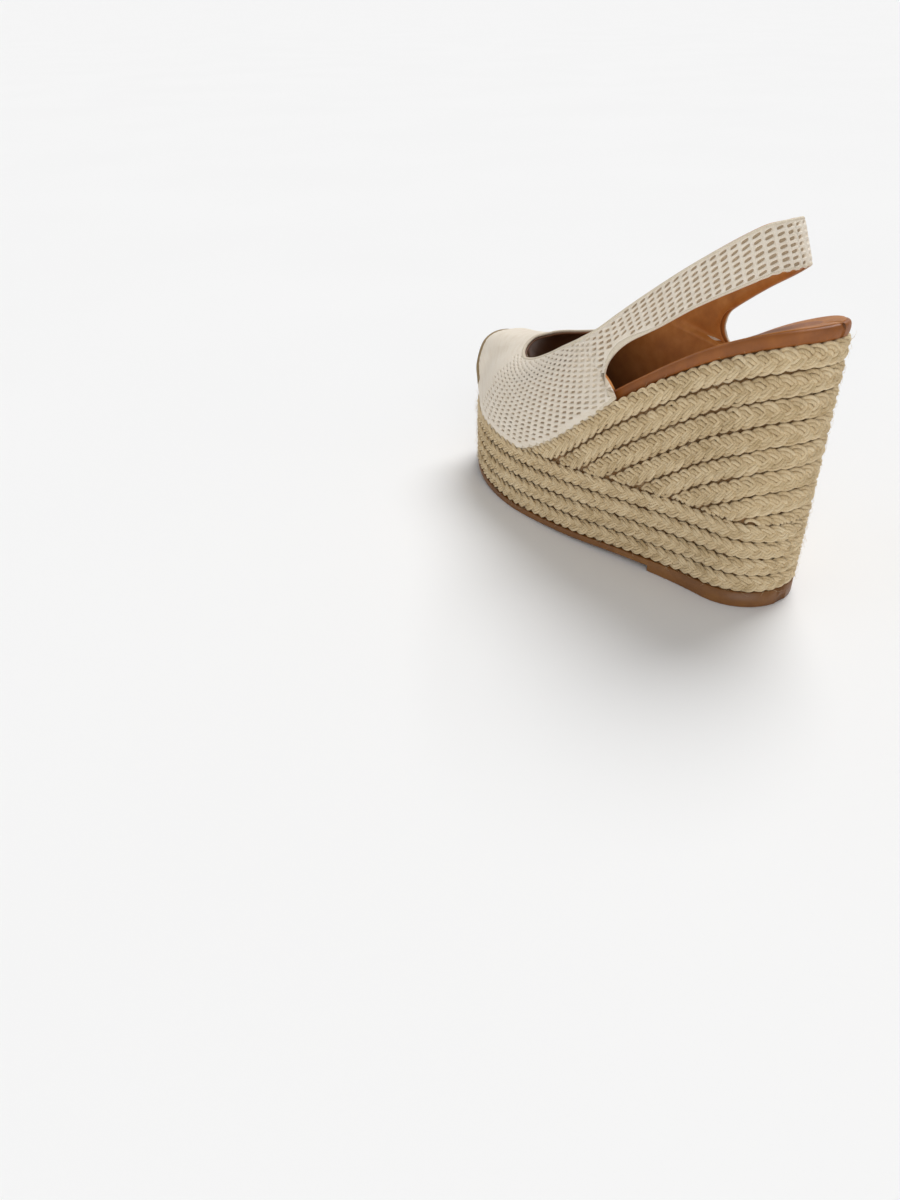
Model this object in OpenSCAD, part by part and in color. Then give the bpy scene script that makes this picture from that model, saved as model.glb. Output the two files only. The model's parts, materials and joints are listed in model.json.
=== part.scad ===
// Espadrille wedge sandal, left foot: peep-toe vamp, sling strap and braided jute wedge.
// Working axes: x = 0 at the back of the heel and grows to the toe, +y is the outer
// side of the foot, z = 0 is the ground. place() moves the finished shoe to its origin.

/* [Sole] */
// Length of the sole from heel to toe
sole_length = 228; // [222:1:234]
// Width of the sole at the heel
heel_width = 55; // [52:1:58]
// Width of the sole at the ball of the foot
ball_width = 84; // [80:1:88]
// Height of the straight braided band above the outsole
band_height = 36; // [34:1:38]
// Rise of the wedge above the band at the back of the heel
wedge_rise = 85; // [82:1:88]
// Lift of the sole at the tip of the toe
toe_spring = 8; // [6:0.5:9]
// Lean of the heel back over its own foot
heel_overhang = 2.5; // [1:0.5:4]

/* [Outsole] */
// Thickness of the moulded rubber plate
plate_thickness = 3.4; // [3:0.1:3.8]
// Length of the heel block
heel_block_length = 58; // [50:1:64]
// Extra height of the rubber under the heel
heel_block_rise = 5; // [4:0.5:6]

/* [Braids] */
// Thickness of a braid row
braid_thickness = 5; // [4.5:0.5:5.5]
// Height of a braid row in the wedge, measured square to the row
wedge_row_pitch = 10.7; // [10.5:0.1:10.9]

/* [Footbed] */
// Thickness of the insole board
board_thickness = 2; // [1.5:0.5:2.5]
// Thickness of the foam
foam_thickness = 2.5; // [2:0.5:3]
// Thickness of the sock and of the edge cover
leather_thickness = 1; // [0.8:0.1:1.2]

/* [Upper] */
// Thickness of the open-mesh canvas
canvas_thickness = 1.4; // [1.2:0.1:1.6]
// Thickness of the upper's leather lining
lining_thickness = 0.8; // [0.6:0.1:1]
// Thickness of the elastic strip at the back of the sling
elastic_thickness = 1; // [0.8:0.1:1.2]

/* [Sling hinge] */
// Distance of the sling's flex line from the heel back
flex_x = 82.5; // [80:0.5:85]
// Height of the sling's flex line
flex_z = 122; // [120:0.5:124]
// Radius of the round strap end at the flex line
flex_radius = 9; // [8.5:0.1:9.5]
// Clearance between the vamp and the sling
flex_gap = 0.3; // [0.3:0.05:0.5]

/* [Hidden] */
$fn = 64;

rope_colour = [0.80, 0.73, 0.59];
rubber_colour = [0.60, 0.43, 0.24];
leather_colour = [0.70, 0.43, 0.22];
canvas_colour = [0.85, 0.80, 0.72];
board_colour = [0.62, 0.52, 0.40];
core_colour = [0.78, 0.70, 0.58];
foam_colour = [0.93, 0.90, 0.82];
binding_colour = [0.66, 0.58, 0.45];
elastic_colour = [0.88, 0.84, 0.76];

gap = 0.1;              // glue line between layers of one body
plan_steps = 64;        // stations round the sole outline
side_shift = 2.1;       // how far the outline's middle lies to the outer side
centre_x = (sole_length - heel_overhang) / 2;
reach = 400;            // longer than the shoe, for cutting tools
overlap = 5;            // how far a cutting tool runs past what it cuts
band_rows = 4;          // braid rows in the straight band

// ---------- curves ----------

// Index of the span of the point list P that holds x
function span(P, x, i = 0) = i >= len(P) - 2 || x < P[i + 1][0] ? i : span(P, x, i + 1);
// Slope of the curve through P at its point i
function slope(P, i) =
    let(a = max(i - 1, 0), b = min(i + 1, len(P) - 1))
    (P[b][1] - P[a][1]) / (P[b][0] - P[a][0]);
// Smooth curve through the points P = [[x, value], ...], held level past both ends
function curve(P, x) =
    let(xc = min(max(x, P[0][0]), P[len(P) - 1][0]), i = span(P, xc),
        h = P[i + 1][0] - P[i][0], t = (xc - P[i][0]) / h)
    (2 * t ^ 3 - 3 * t ^ 2 + 1) * P[i][1] + (t ^ 3 - 2 * t ^ 2 + t) * h * slope(P, i)
    + (-2 * t ^ 3 + 3 * t ^ 2) * P[i + 1][1] + (t ^ 3 - t ^ 2) * h * slope(P, i + 1);
function clamp01(t) = min(max(t, 0), 1);
function mix(a, b, t) = a + (b - a) * t;
function unit(v) = v / max(norm(v), 1e-6);

// ---------- plan of the sole ----------

// Half of the width, and sideways place of the middle, along the length
half_points = [[0, heel_width / 2 - 1], [30, heel_width / 2], [60, heel_width / 2 + 2.5],
    [98, ball_width / 2 - 7.7], [140, ball_width / 2 - 1], [170, ball_width / 2 + 0.3],
    [sole_length, ball_width / 2 + 0.3]];
middle_points = [[0, 0], [40, 0.5], [75, 3.5], [105, 6], [140, 3.5], [175, 0.5], [205, -2],
    [sole_length, -5]];
heel_radius = 27;       // length of the rounded heel end
toe_start = 150;        // where the rounded toe end begins
toe_power = 2.3;        // fullness of the toe

function end_cap(x) =
    sqrt(max(1 - clamp01(1 - x / heel_radius) ^ 2, 0))
    * sqrt(max(1 - clamp01((x - toe_start) / (sole_length - toe_start)) ^ toe_power, 0));
function half_width(x) = curve(half_points, x) * end_cap(x);
function middle(x) = curve(middle_points, x);

// The outline is walked by an angle a: 0 at the heel back, + outer side, - inner side, 180 at the toe
function plan_x(a) = sole_length / 2 * (1 - cos(a));
function plan_angle(x) = acos(min(max(1 - 2 * x / sole_length, -1), 1));
function plan_point(a) = [plan_x(a), middle(plan_x(a)) + sign(a) * half_width(plan_x(a))];
function plan_inward(a) =
    let(lo = max(a - 0.5, -179.99), hi = min(a + 0.5, 179.99), d = plan_point(hi) - plan_point(lo))
    unit([d[1], -d[0]]);

// ---------- heights along the shoe ----------

arch_end = 150;         // where the sole meets the ground in front of the arch
spring_start = 160;     // where the toe begins to lift
rise_points = [[-6, wedge_rise + 0.4], [20, wedge_rise - 6.4], [50, wedge_rise - 19.8],
    [90, wedge_rise - 45.9], [122, wedge_rise - 71.8], [143, 1.2], [152, 0], [sole_length, 0]];

// Top of the rubber, top of the band and top of the wedge
function sole_top(x) = plate_thickness + heel_block_rise * clamp01(1 - x / arch_end)
    + toe_spring * clamp01((x - spring_start) / (sole_length - spring_start)) ^ 2;
function band_top(x) = sole_top(x) + band_height;
function wedge_top(x) = band_top(x) + max(curve(rise_points, x), 0);
function top_slope(x) = (wedge_top(x + 1) - wedge_top(x - 1)) / 2;

// Point of the shoe's wall at outline angle a and height z, a distance inset inside it
heel_taper = 0.2;       // narrowing of the heel seat against the heel's foot
heel_reach = 110;       // where the heel's lean and narrowing have died away
heel_seat = 130;        // height at which they are at their full value
function heel_share(x, z) = clamp01(1 - x / heel_reach) * z / heel_seat;
function wall(a, z, inset = 0) =
    let(p = plan_point(a), q = p + plan_inward(a) * inset, w = heel_share(p[0], z))
    [q[0] - heel_overhang * w, middle(q[0]) + (q[1] - middle(q[0])) * (1 - heel_taper * w), z];

// ---------- solids ----------

module place() translate([-centre_x, -side_shift, 0]) children();

// Faces of a strip of rings; each ring holds m points, and the last joins the first if looped
function side_faces(n, m, looped) = [
    for (i = [0 : n - (looped ? 1 : 2)], j = [0 : m - 1])
        let(i2 = (i + 1) % n, j2 = (j + 1) % m)
        each [[i * m + j, i2 * m + j, i2 * m + j2], [i * m + j, i2 * m + j2, i * m + j2]]];
// Closed solid through a list of rings of equal length
module loft(rings, looped = false) {
    n = len(rings);
    m = len(rings[0]);
    first_cap = [for (j = [1 : m - 2]) [0, j, j + 1]];
    last_cap = [for (j = [1 : m - 2]) [(n - 1) * m, (n - 1) * m + j + 1, (n - 1) * m + j]];
    polyhedron(points = [for (r = rings) each r],
        faces = concat(side_faces(n, m, looped), looped ? [] : concat(first_cap, last_cap)),
        convexity = 10);
}

// Outline of the shoe in plan at ground level, shrunk by inset
function outline(inset) = [
    for (k = [0 : 2 * plan_steps - 1])
        let(a = -180 + 180 * (k + 0.5) / plan_steps, p = wall(a, 0, inset)) [p[0], p[1]]];

// ---------- outsole ----------

outsole_inset = 0.6;    // how far the rubber stands inside the braids
profile_step = 6;       // length of the facets of its side profile
function plate_bottom(x) = max(sole_top(x) - plate_thickness, 0);
function sole_profile() = concat(
    [[-overlap, 0], [heel_block_length, 0]],
    [for (x = [heel_block_length : profile_step : sole_length + overlap]) [x, plate_bottom(x)]],
    [for (x = [sole_length + overlap : -profile_step : -overlap]) [x, sole_top(x)]]);

module outsole() {
    color(rubber_colour) place() intersection() {
        linear_extrude(height = band_height) polygon(outline(outsole_inset));
        translate([0, reach / 2, 0]) rotate([90, 0, 0])
            linear_extrude(height = reach) polygon(sole_profile());
    }
}

// ---------- inside the wedge and the footbed ----------

// The footbed draws in from the sole's edge where the upper passes outside it
open_inset = 1.5;       // inset of the bare footbed at the heel
vamp_inset = 6;         // inset inside the upper
draw_start = 50;        // where it begins to draw in, and over what length it does
draw_length = 24;
footbed_from = 4;       // first and last outline angle of the footbed's layers
footbed_to = 174;
function footbed_inset(x) = mix(open_inset, vamp_inset, clamp01((x - draw_start) / draw_length));
// Point of the wall at outline angle a, inset from it, a lift above the wedge's top at that place
function on_wedge(a, lift, inset) =
    let(q = plan_point(a) + plan_inward(a) * inset) wall(a, wedge_top(q[0]) + lift, inset);
// Rings of a layer between two heights above the wedge's top, extra inside the footbed's edge
function footbed_rings(low, high, extra) = [
    for (k = [0 : plan_steps])
        let(a = mix(footbed_from, footbed_to, k / plan_steps), i = footbed_inset(plan_x(a)) + extra)
        [on_wedge(a, low, i), on_wedge(a, high, i), on_wedge(-a, high, i), on_wedge(-a, low, i)]];

core_inset = braid_thickness + gap;
core_from = 8;          // first and last outline angle of the core
core_to = 170;
bed_gap = 0.25;         // glue line between the footbed's layers
board_top = bed_gap + board_thickness;
foam_low = board_top + bed_gap;
foam_top = foam_low + foam_thickness;
sock_low = foam_top + bed_gap;
sock_top = sock_low + leather_thickness;

module wedge_core() {
    color(core_colour) place() loft([
        for (k = [0 : plan_steps])
            let(a = mix(core_from, core_to, k / plan_steps), low = sole_top(plan_x(a)) + gap)
            [wall(a, low, core_inset), on_wedge(a, -gap, core_inset),
             on_wedge(-a, -gap, core_inset), wall(-a, low, core_inset)]]);
}

module insole_board() color(board_colour) place()
    loft(footbed_rings(bed_gap, board_top, leather_thickness + bed_gap));

module footbed_foam() color(foam_colour) place()
    loft(footbed_rings(foam_low, foam_top, leather_thickness + bed_gap));

module sock_lining() color(leather_colour) place()
    loft(footbed_rings(sock_low, sock_top, 0));

module edge_cover() color(leather_colour) place() loft([
    for (k = [0 : 2 * plan_steps - 1])
        let(a = -180 + 180 * (k + 0.5) / plan_steps, i = footbed_inset(plan_x(a)),
            j = i + leather_thickness)
        [on_wedge(a, bed_gap, i), on_wedge(a, foam_top, i),
         on_wedge(a, foam_top, j), on_wedge(a, bed_gap, j)]], looped = true);

// ---------- braid rows ----------

// Section of a row between two heights: flat at the back, rounded at the front
row_round = 1.3;        // depth of the rounding at a row's two edges
round_share = 0.3;      // share of the row's height that each rounding takes
// drop is how much lower the row is at its back, and least the height that its back stays above
function row_ring(a, low, high, drop = 0, least = 0) =
    let(h = high - low, r = min(row_round, h / 3))
    [wall(a, max(low - drop, least), braid_thickness), wall(a, low, r),
     wall(a, low + round_share * h, 0), wall(a, high - round_share * h, 0),
     wall(a, high - drop * r / braid_thickness, r), wall(a, high - drop, braid_thickness)];

module band_row(k) color(rope_colour) place() loft([
    for (j = [0 : 2 * plan_steps - 1])
        let(a = -180 + 180 * (j + 0.5) / plan_steps, x = plan_x(a), h = band_height / band_rows,
            z = sole_top(x) + k * h)
        row_ring(a, z + (k == 0 ? 0 : gap / 2), z + h - gap / 2)], looped = true);

// Height of the upper edge of wedge row k, and where the row runs out on the band
function row_top(k, x) = wedge_top(x) - k * wedge_row_pitch * sqrt(1 + top_slope(x) ^ 2);
least_row = 1.6;        // height at which a row is cut off
function row_end(k, x = 0) =
    row_top(k, x) - band_top(x) < least_row || x > arch_end ? x : row_end(k, x + 0.5);

// Fall of the wedge's top across the thickness of a braid at outline angle a
function top_fall(a) =
    let(p = plan_point(a), q = p + plan_inward(a) * braid_thickness)
    max(wedge_top(p[0]) - wedge_top(q[0]), 0);

module wedge_row(k) {
    last = plan_angle(row_end(k) - 0.5);
    steps = 34;         // stations on each side of the heel back
    color(rope_colour) place() loft([
        for (j = [0 : 2 * steps])
            let(a = last * (j - steps) / steps, s = j == steps ? 0.01 : a, x = plan_x(s),
                band = band_top(x) + gap / 2)
            row_ring(s, max(row_top(k + 1, x) + gap / 2, band), row_top(k, x) - gap / 2,
                top_fall(s), band)]);
}

// ---------- upper ----------

// The upper is a band round the foot opening. Each rib of it runs from its lower edge E to its
// upper edge I: [E, I, bulge, azimuth, lean at E, lean at I]. side is +1 outside, -1 inside.
feather_inset = 1.4;
feather_lift = 1.1;     // height of the upper's lower edge above the braids
function feather(x, side) =
    let(p = wall(side * plan_angle(x), wedge_top(x), feather_inset))
    [p[0], p[1], wedge_top(p[0]) + feather_lift];

// Ribs of the sling from the back of the heel to the flex line: lower and upper points
sling_ribs = [
    [[22.6, 0, 150.5], [31.0, 0, 168.0]],
    [[27.0, 12, 149.0], [35.0, 12, 166.2]],
    [[38.5, 19.5, 142.0], [46.0, 19, 158.6]],
    [[55.0, 24, 131.8], [62.5, 23, 147.0]],
    [[72.0, 27.2, 119.7], [80.0, 26, 133.6]]];

// Ribs from the side opening, outer side then inner side: lower point, upper point, bulge, lean
opening_ribs = [
    [[[87, 29.5, 109.8], [95, 28.9, 121.3], 0.05, 20],
     [[94, 31.5, 102], [101.5, 29.7, 115.9], 0.1, 21],
     [[95.5, 33.8, 95.5], [107, 30.2, 111.5], 0.16, 23],
     [[92.4, 36.2, 89.6], [112, 30.3, 108.2], 0.24, 26],
     [[88.2, 38.2, 85.9], [115.5, 30.2, 106], 0.3, 29]],
    [[[77, -28, 115], [92, -27.4, 123.2], 0.05, 20],
     [[79, -28.6, 109.5], [98, -27.8, 118.8], 0.08, 21],
     [[78.5, -29.2, 104.6], [104, -28, 114.4], 0.14, 23],
     [[75.4, -29.8, 100.2], [110, -27.9, 110.5], 0.22, 26],
     [[72, -30.2, 97.2], [114, -27.6, 108], 0.28, 29]]];

// Ribs of the vamp: feather x outside and inside, throat x and y, throat z outside and inside,
// bulge, azimuth, lean at the feather, lean at the throat
vamp_ribs = [
    [86, 70, 118, 30.0, 104.5, 105.7, 0.34, 90, 3, 31],
    [90.5, 76, 122, 29.5, 102.1, 103.8, 0.4, 90, 3, 33],
    [106, 98, 133, 28.1, 96.0, 98.8, 0.65, 92, 5, 38],
    [128, 126, 146, 26.2, 88.6, 92.6, 0.9, 95, 5, 44],
    [150, 150, 159.5, 23.5, 81.9, 88.2, 1, 100, 5, 49],
    [171, 171, 171.5, 20.0, 77.8, 85.4, 1, 108, 5, 56],
    [187, 187, 177.0, 17.2, 77.4, 84.6, 1, 118, 6, 61],
    [200, 200, 181.0, 14.0, 78.2, 84.0, 1, 130, 8, 66],
    [211, 211, 183.7, 10.5, 79.4, 83.4, 1, 142, 12, 70]];

// Ribs of the peep rim, outer side, centre and inner side
rim_ribs = [
    [[217.2, 20, 51.5], [184.6, 8.8, 80.0], 1, 150, 21, 72],
    [[220.5, 18, 60.5], [185.2, 7, 80.6], 1, 158, 30, 74],
    [[225, 9.5, 71], [186.2, 3.5, 81.6], 1, 170, 52, 78],
    [[226, -2, 74.6], [186.5, 0, 82.2], 1, 180, 72, 80],
    [[225.5, -13.5, 71], [186.2, -3.5, 82.4], 1, 170, 52, 78],
    [[221.5, -22, 60.5], [185.2, -7, 82.8], 1, 158, 30, 74],
    [[218.2, -24.6, 51.5], [184.6, -8.4, 82.9], 1, 150, 21, 72]];

function side_of(side, p) = [p[0], side * p[1], p[2]];
function sling_part(side) = [for (r = sling_ribs)
    [side_of(side, r[0]), side_of(side, r[1]), 0, 90, 0, 0]];
function opening_part(side) = [for (r = opening_ribs[side > 0 ? 0 : 1])
    [r[0], r[1], r[2], 90, 0, r[3]]];
function vamp_part(side) = [for (r = vamp_ribs)
    [feather(r[side > 0 ? 0 : 1], side),
     [r[2], r[3] * (side > 0 ? 1 : -0.9), r[side > 0 ? 4 : 5]], r[6], r[7], r[8], r[9]]];
function reversed(list) = [for (i = [len(list) - 1 : -1 : 0]) list[i]];
function without_first(list) = [for (i = [1 : len(list) - 1]) list[i]];

ribs = concat(sling_part(1), opening_part(1), vamp_part(1), rim_ribs,
    reversed(concat(without_first(sling_part(-1)), opening_part(-1), vamp_part(-1))));
rib_count = len(ribs);
sling_last = len(sling_ribs) - 1;       // rib at the front end of the sling
rim_first = sling_last + len(opening_ribs[0]) + len(vamp_ribs) + 1;
rim_last = rim_first + len(rim_ribs) - 1;

// Rib at the running number u, a smooth closed curve through the ribs above
function spline(a, b, c, d, t) =
    0.5 * (2 * b + (c - a) * t + (2 * a - 5 * b + 4 * c - d) * t ^ 2
    + (3 * b - a - 3 * c + d) * t ^ 3);
function rib_at(u) =
    let(i = floor(u), t = u - i, n = rib_count,
        a = ribs[(i - 1 + n) % n], b = ribs[(i + n) % n], c = ribs[(i + 1) % n], d = ribs[(i + 2) % n])
    [for (k = [0 : 5]) spline(a[k], b[k], c[k], d[k], t)];

// Point at share v of a rib, 0 at its lower edge
function lean_vector(side, azimuth, lean) =
    [sin(lean) * cos(azimuth), -side * sin(lean) * sin(azimuth), cos(lean)];
function rib_point(r, v) =
    let(E = r[0], I = r[1], side = sign(E[1] + 2.01), k = 0.38 * norm(I - E),
        P = mix(E + (I - E) / 3, E + k * lean_vector(side, r[3], r[4]), r[2]),
        Q = mix(I - (I - E) / 3, I - k * lean_vector(side, r[3], r[5]), r[2]))
    (1 - v) ^ 3 * E + 3 * (1 - v) ^ 2 * v * P + 3 * (1 - v) * v ^ 2 * Q + v ^ 3 * I;

function upper_point(u, v) = rib_point(rib_at(u), v);
normal_margin = 0.1;    // the depth's direction is held level this near a rib's two ends
function upper_normal(u, v) =
    let(n = rib_count, w = min(max(v, normal_margin), 1 - normal_margin),
        du = upper_point((u + 0.2) % n, w) - upper_point((u - 0.2 + n) % n, w),
        dv = upper_point(u, w + 0.05) - upper_point(u, w - 0.05))
    unit(cross(du, dv));

// Section of the upper at u: a closed ring between two depths under the outer surface
function upper_ring(u, v_low, v_high, outer, inner, steps) =
    let(w = (u + rib_count) % rib_count)
    concat(
        [for (j = [0 : steps]) let(v = mix(v_low, v_high, j / steps))
            upper_point(w, v) + upper_normal(w, v) * outer],
        [for (j = [steps : -1 : 0]) let(v = mix(v_low, v_high, j / steps))
            upper_point(w, v) + upper_normal(w, v) * inner]);

rim_share = 0.07;       // share of a rib that the peep binding takes
function lower_share(u) = clamp01((u - rim_first + 0.6) * 4) * clamp01((rim_last + 0.6 - u) * 4)
    * rim_share;

// Depth of the lining: it lies against the canvas, and behind the elastic at the heel
elastic_to = 1.2;       // rib at which the elastic strip ends, to either side of the heel
layer_gap = 0.25;       // between the layers of the upper
elastic_depth = canvas_thickness + layer_gap;
function lining_depth(u) =
    elastic_depth + (elastic_thickness + layer_gap) * clamp01(elastic_to + 1 - u) ^ 2;

module flex_axis_bar(radius) translate([flex_x, 0, flex_z]) rotate([90, 0, 0])
    cylinder(r = radius, h = reach, center = true, $fn = 96);

// Wedge of space behind the flex line, opening to the given half angle about the strap's line
strap_slope = 34.5;
module behind_flex(half_angle) {
    far = 150;          // longer than the sling
    translate([flex_x, reach / 2, flex_z]) rotate([90, 0, 0]) linear_extrude(height = reach)
        polygon([[0, 0],
            for (s = [-1, 0, 1])
                far * [-cos(strap_slope + s * half_angle), sin(strap_slope + s * half_angle)]]);
}

vamp_half_angle = 89;   // how wide the vamp is cut away behind the round strap end
sling_half_angle = 68;  // how wide the sling's own end is left
module vamp_cut() difference() {
    children();
    difference() {
        behind_flex(vamp_half_angle);
        flex_axis_bar(flex_radius);
    }
}
module sling_cut() intersection() {
    children();
    difference() {
        behind_flex(sling_half_angle);
        flex_axis_bar(flex_radius + flex_gap);
    }
}

// Vamp: a sheet of the upper between the two flex lines, at two depths under its outer surface
vamp_from = sling_last - 1;
vamp_to = rib_count - vamp_from;
vamp_step = 0.5;        // ribs between two sections, and points along a rib
vamp_rib_steps = 9;
module vamp_sheet(outer, inner) {
    n = ceil((vamp_to - vamp_from) / vamp_step);
    loft([for (i = [0 : n]) let(u = mix(vamp_from, vamp_to, i / n))
        upper_ring(u, lower_share(u), 1, outer, inner, vamp_rib_steps)]);
}
module vamp_canvas() color(canvas_colour) place() vamp_cut() vamp_sheet(0, canvas_thickness);

module vamp_lining() color(leather_colour) place() vamp_cut()
    vamp_sheet(canvas_thickness + layer_gap, canvas_thickness + layer_gap + lining_thickness);

binding_outer = -0.3;   // depths of the binding: it stands a little proud on both sides
binding_inner = canvas_thickness + layer_gap + lining_thickness + 0.3;
binding_end = 0.2;      // how far it runs past the rim's last ribs
binding_steps = 18;
module peep_binding() color(binding_colour) place() loft([
    for (i = [0 : binding_steps])
        upper_ring(mix(rim_first - binding_end, rim_last + binding_end, i / binding_steps),
            0, rim_share - 0.01, binding_outer, binding_inner, 2)]);

sling_to = sling_last + 1;
sling_step = 0.25;      // ribs between two sections, and points along a rib
sling_rib_steps = 3;
module sling_canvas() color(canvas_colour) place() sling_cut()
    loft([for (u = [-sling_to : sling_step : sling_to])
        upper_ring(u, 0, 1, 0, canvas_thickness, sling_rib_steps)]);

module sling_lining() color(leather_colour) place() sling_cut()
    loft([for (u = [-sling_to : sling_step : sling_to])
        let(depth = lining_depth(abs(u)))
        upper_ring(u, 0, 1, depth, depth + lining_thickness, sling_rib_steps)]);

elastic_steps = 12;
elastic_margin = 0.15;  // share of a rib left free at each edge of the strip
module heel_elastic() color(elastic_colour) place() loft([
    for (i = [0 : elastic_steps])
        upper_ring(mix(-elastic_to, elastic_to, i / elastic_steps), elastic_margin,
            1 - elastic_margin, elastic_depth, elastic_depth + elastic_thickness, 1)]);

module band_braid_1() band_row(0);
module band_braid_2() band_row(1);
module band_braid_3() band_row(2);
module band_braid_4() band_row(3);
module wedge_braid_1() wedge_row(0);
module wedge_braid_2() wedge_row(1);
module wedge_braid_3() wedge_row(2);
module wedge_braid_4() wedge_row(3);
module wedge_braid_5() wedge_row(4);
module wedge_braid_6() wedge_row(5);
module wedge_braid_7() wedge_row(6);
module wedge_braid_8() wedge_row(7);

outsole();
wedge_core();
insole_board();
footbed_foam();
sock_lining();
edge_cover();
band_braid_1();
band_braid_2();
band_braid_3();
band_braid_4();
wedge_braid_1();
wedge_braid_2();
wedge_braid_3();
wedge_braid_4();
wedge_braid_5();
wedge_braid_6();
wedge_braid_7();
wedge_braid_8();
vamp_canvas();
vamp_lining();
peep_binding();
sling_canvas();
sling_lining();
heel_elastic();
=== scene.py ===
# Espadrille wedge sandal, left foot: the visual model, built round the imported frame.
# Lengths are in millimetres in the part's working axes (x = 0 at the heel back, +y the outer
# side, z = 0 the ground) and become metres in the row frame in to_row().
import json
import math

import bmesh
import bpy
import numpy as np
from mathutils import Matrix

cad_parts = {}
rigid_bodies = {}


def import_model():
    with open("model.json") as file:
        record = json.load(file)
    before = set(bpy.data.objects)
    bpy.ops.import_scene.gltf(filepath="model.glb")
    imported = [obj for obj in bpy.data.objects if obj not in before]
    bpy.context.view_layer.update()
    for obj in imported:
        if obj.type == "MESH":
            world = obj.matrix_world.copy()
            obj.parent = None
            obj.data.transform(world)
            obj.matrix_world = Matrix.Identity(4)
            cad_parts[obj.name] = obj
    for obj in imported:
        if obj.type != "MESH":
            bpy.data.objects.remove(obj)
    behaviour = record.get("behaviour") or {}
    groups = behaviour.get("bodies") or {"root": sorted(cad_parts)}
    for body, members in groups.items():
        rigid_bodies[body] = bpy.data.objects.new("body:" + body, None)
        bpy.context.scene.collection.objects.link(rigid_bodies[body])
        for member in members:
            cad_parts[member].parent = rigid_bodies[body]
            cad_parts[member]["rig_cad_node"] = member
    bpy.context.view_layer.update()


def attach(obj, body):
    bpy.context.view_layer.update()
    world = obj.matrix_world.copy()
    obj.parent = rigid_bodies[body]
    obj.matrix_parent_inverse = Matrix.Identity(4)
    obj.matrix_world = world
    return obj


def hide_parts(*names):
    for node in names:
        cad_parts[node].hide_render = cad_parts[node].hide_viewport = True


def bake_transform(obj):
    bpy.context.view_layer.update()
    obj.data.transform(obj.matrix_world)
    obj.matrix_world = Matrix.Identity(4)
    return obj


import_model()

rng = np.random.default_rng(11)
MM = 0.001
SHOE, SLING = "shoe", "sling"

# ---------------------------------------------------------------- camera

CAMERA_AT = (-0.317673, 0.327106, 0.246454)
CAMERA_YAW, CAMERA_PITCH, CAMERA_ROLL = -0.5936134, 0.5960489, -0.0260539


def add_object(name, data):
    obj = bpy.data.objects.new(name, data)
    bpy.context.scene.collection.objects.link(obj)
    return obj


def make_camera():
    cy, sy = math.cos(CAMERA_YAW), math.sin(CAMERA_YAW)
    cp, sp = math.cos(CAMERA_PITCH), math.sin(CAMERA_PITCH)
    ahead = np.array([cp * cy, cp * sy, -sp])
    right = np.array([sy, -cy, 0.0])
    up = np.cross(right, ahead)
    cr, sr = math.cos(CAMERA_ROLL), math.sin(CAMERA_ROLL)
    x_axis, y_axis = cr * right + sr * up, -sr * right + cr * up
    data = bpy.data.cameras.new("camera")
    data.sensor_fit = "VERTICAL"
    data.sensor_height = 36.0
    data.lens = 27.0
    data.clip_start = 0.01
    camera = add_object("camera", data)
    m = np.eye(4)
    m[:3, 0], m[:3, 1], m[:3, 2], m[:3, 3] = x_axis, y_axis, -ahead, CAMERA_AT
    camera.matrix_world = Matrix(m.tolist())
    bpy.context.scene.camera = camera


make_camera()

# ---------------------------------------------------------------- the shoe's shape, as in the CAD

SOLE_LENGTH, HEEL_WIDTH, BALL_WIDTH = 228.0, 55.0, 84.0
BAND_HEIGHT, WEDGE_RISE, TOE_SPRING, HEEL_OVERHANG = 36.0, 85.0, 8.0, 2.5
PLATE, HEEL_BLOCK_LENGTH, HEEL_BLOCK_RISE = 3.4, 58.0, 5.0
ROW_PITCH = 10.7
CENTRE_X, SIDE_SHIFT = (SOLE_LENGTH - HEEL_OVERHANG) / 2, 2.1
ARCH_END, SPRING_START = 150.0, 160.0
HEEL_RADIUS, TOE_START, TOE_POWER = 27.0, 150.0, 2.3
HEEL_TAPER, HEEL_REACH, HEEL_SEAT = 0.2, 110.0, 130.0
FEATHER_INSET, FEATHER_LIFT = 1.4, 1.1

HALF = [[0, HEEL_WIDTH / 2 - 1], [30, HEEL_WIDTH / 2], [60, HEEL_WIDTH / 2 + 2.5],
        [98, BALL_WIDTH / 2 - 7.7], [140, BALL_WIDTH / 2 - 1], [170, BALL_WIDTH / 2 + 0.3],
        [SOLE_LENGTH, BALL_WIDTH / 2 + 0.3]]
MIDDLE = [[0, 0], [40, 0.5], [75, 3.5], [105, 6], [140, 3.5], [175, 0.5], [205, -2],
          [SOLE_LENGTH, -5]]
RISE = [[-6, WEDGE_RISE + 0.4], [20, WEDGE_RISE - 6.4], [50, WEDGE_RISE - 19.8],
        [90, WEDGE_RISE - 45.9], [122, WEDGE_RISE - 71.8], [143, 1.2], [152, 0],
        [SOLE_LENGTH, 0]]

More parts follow.
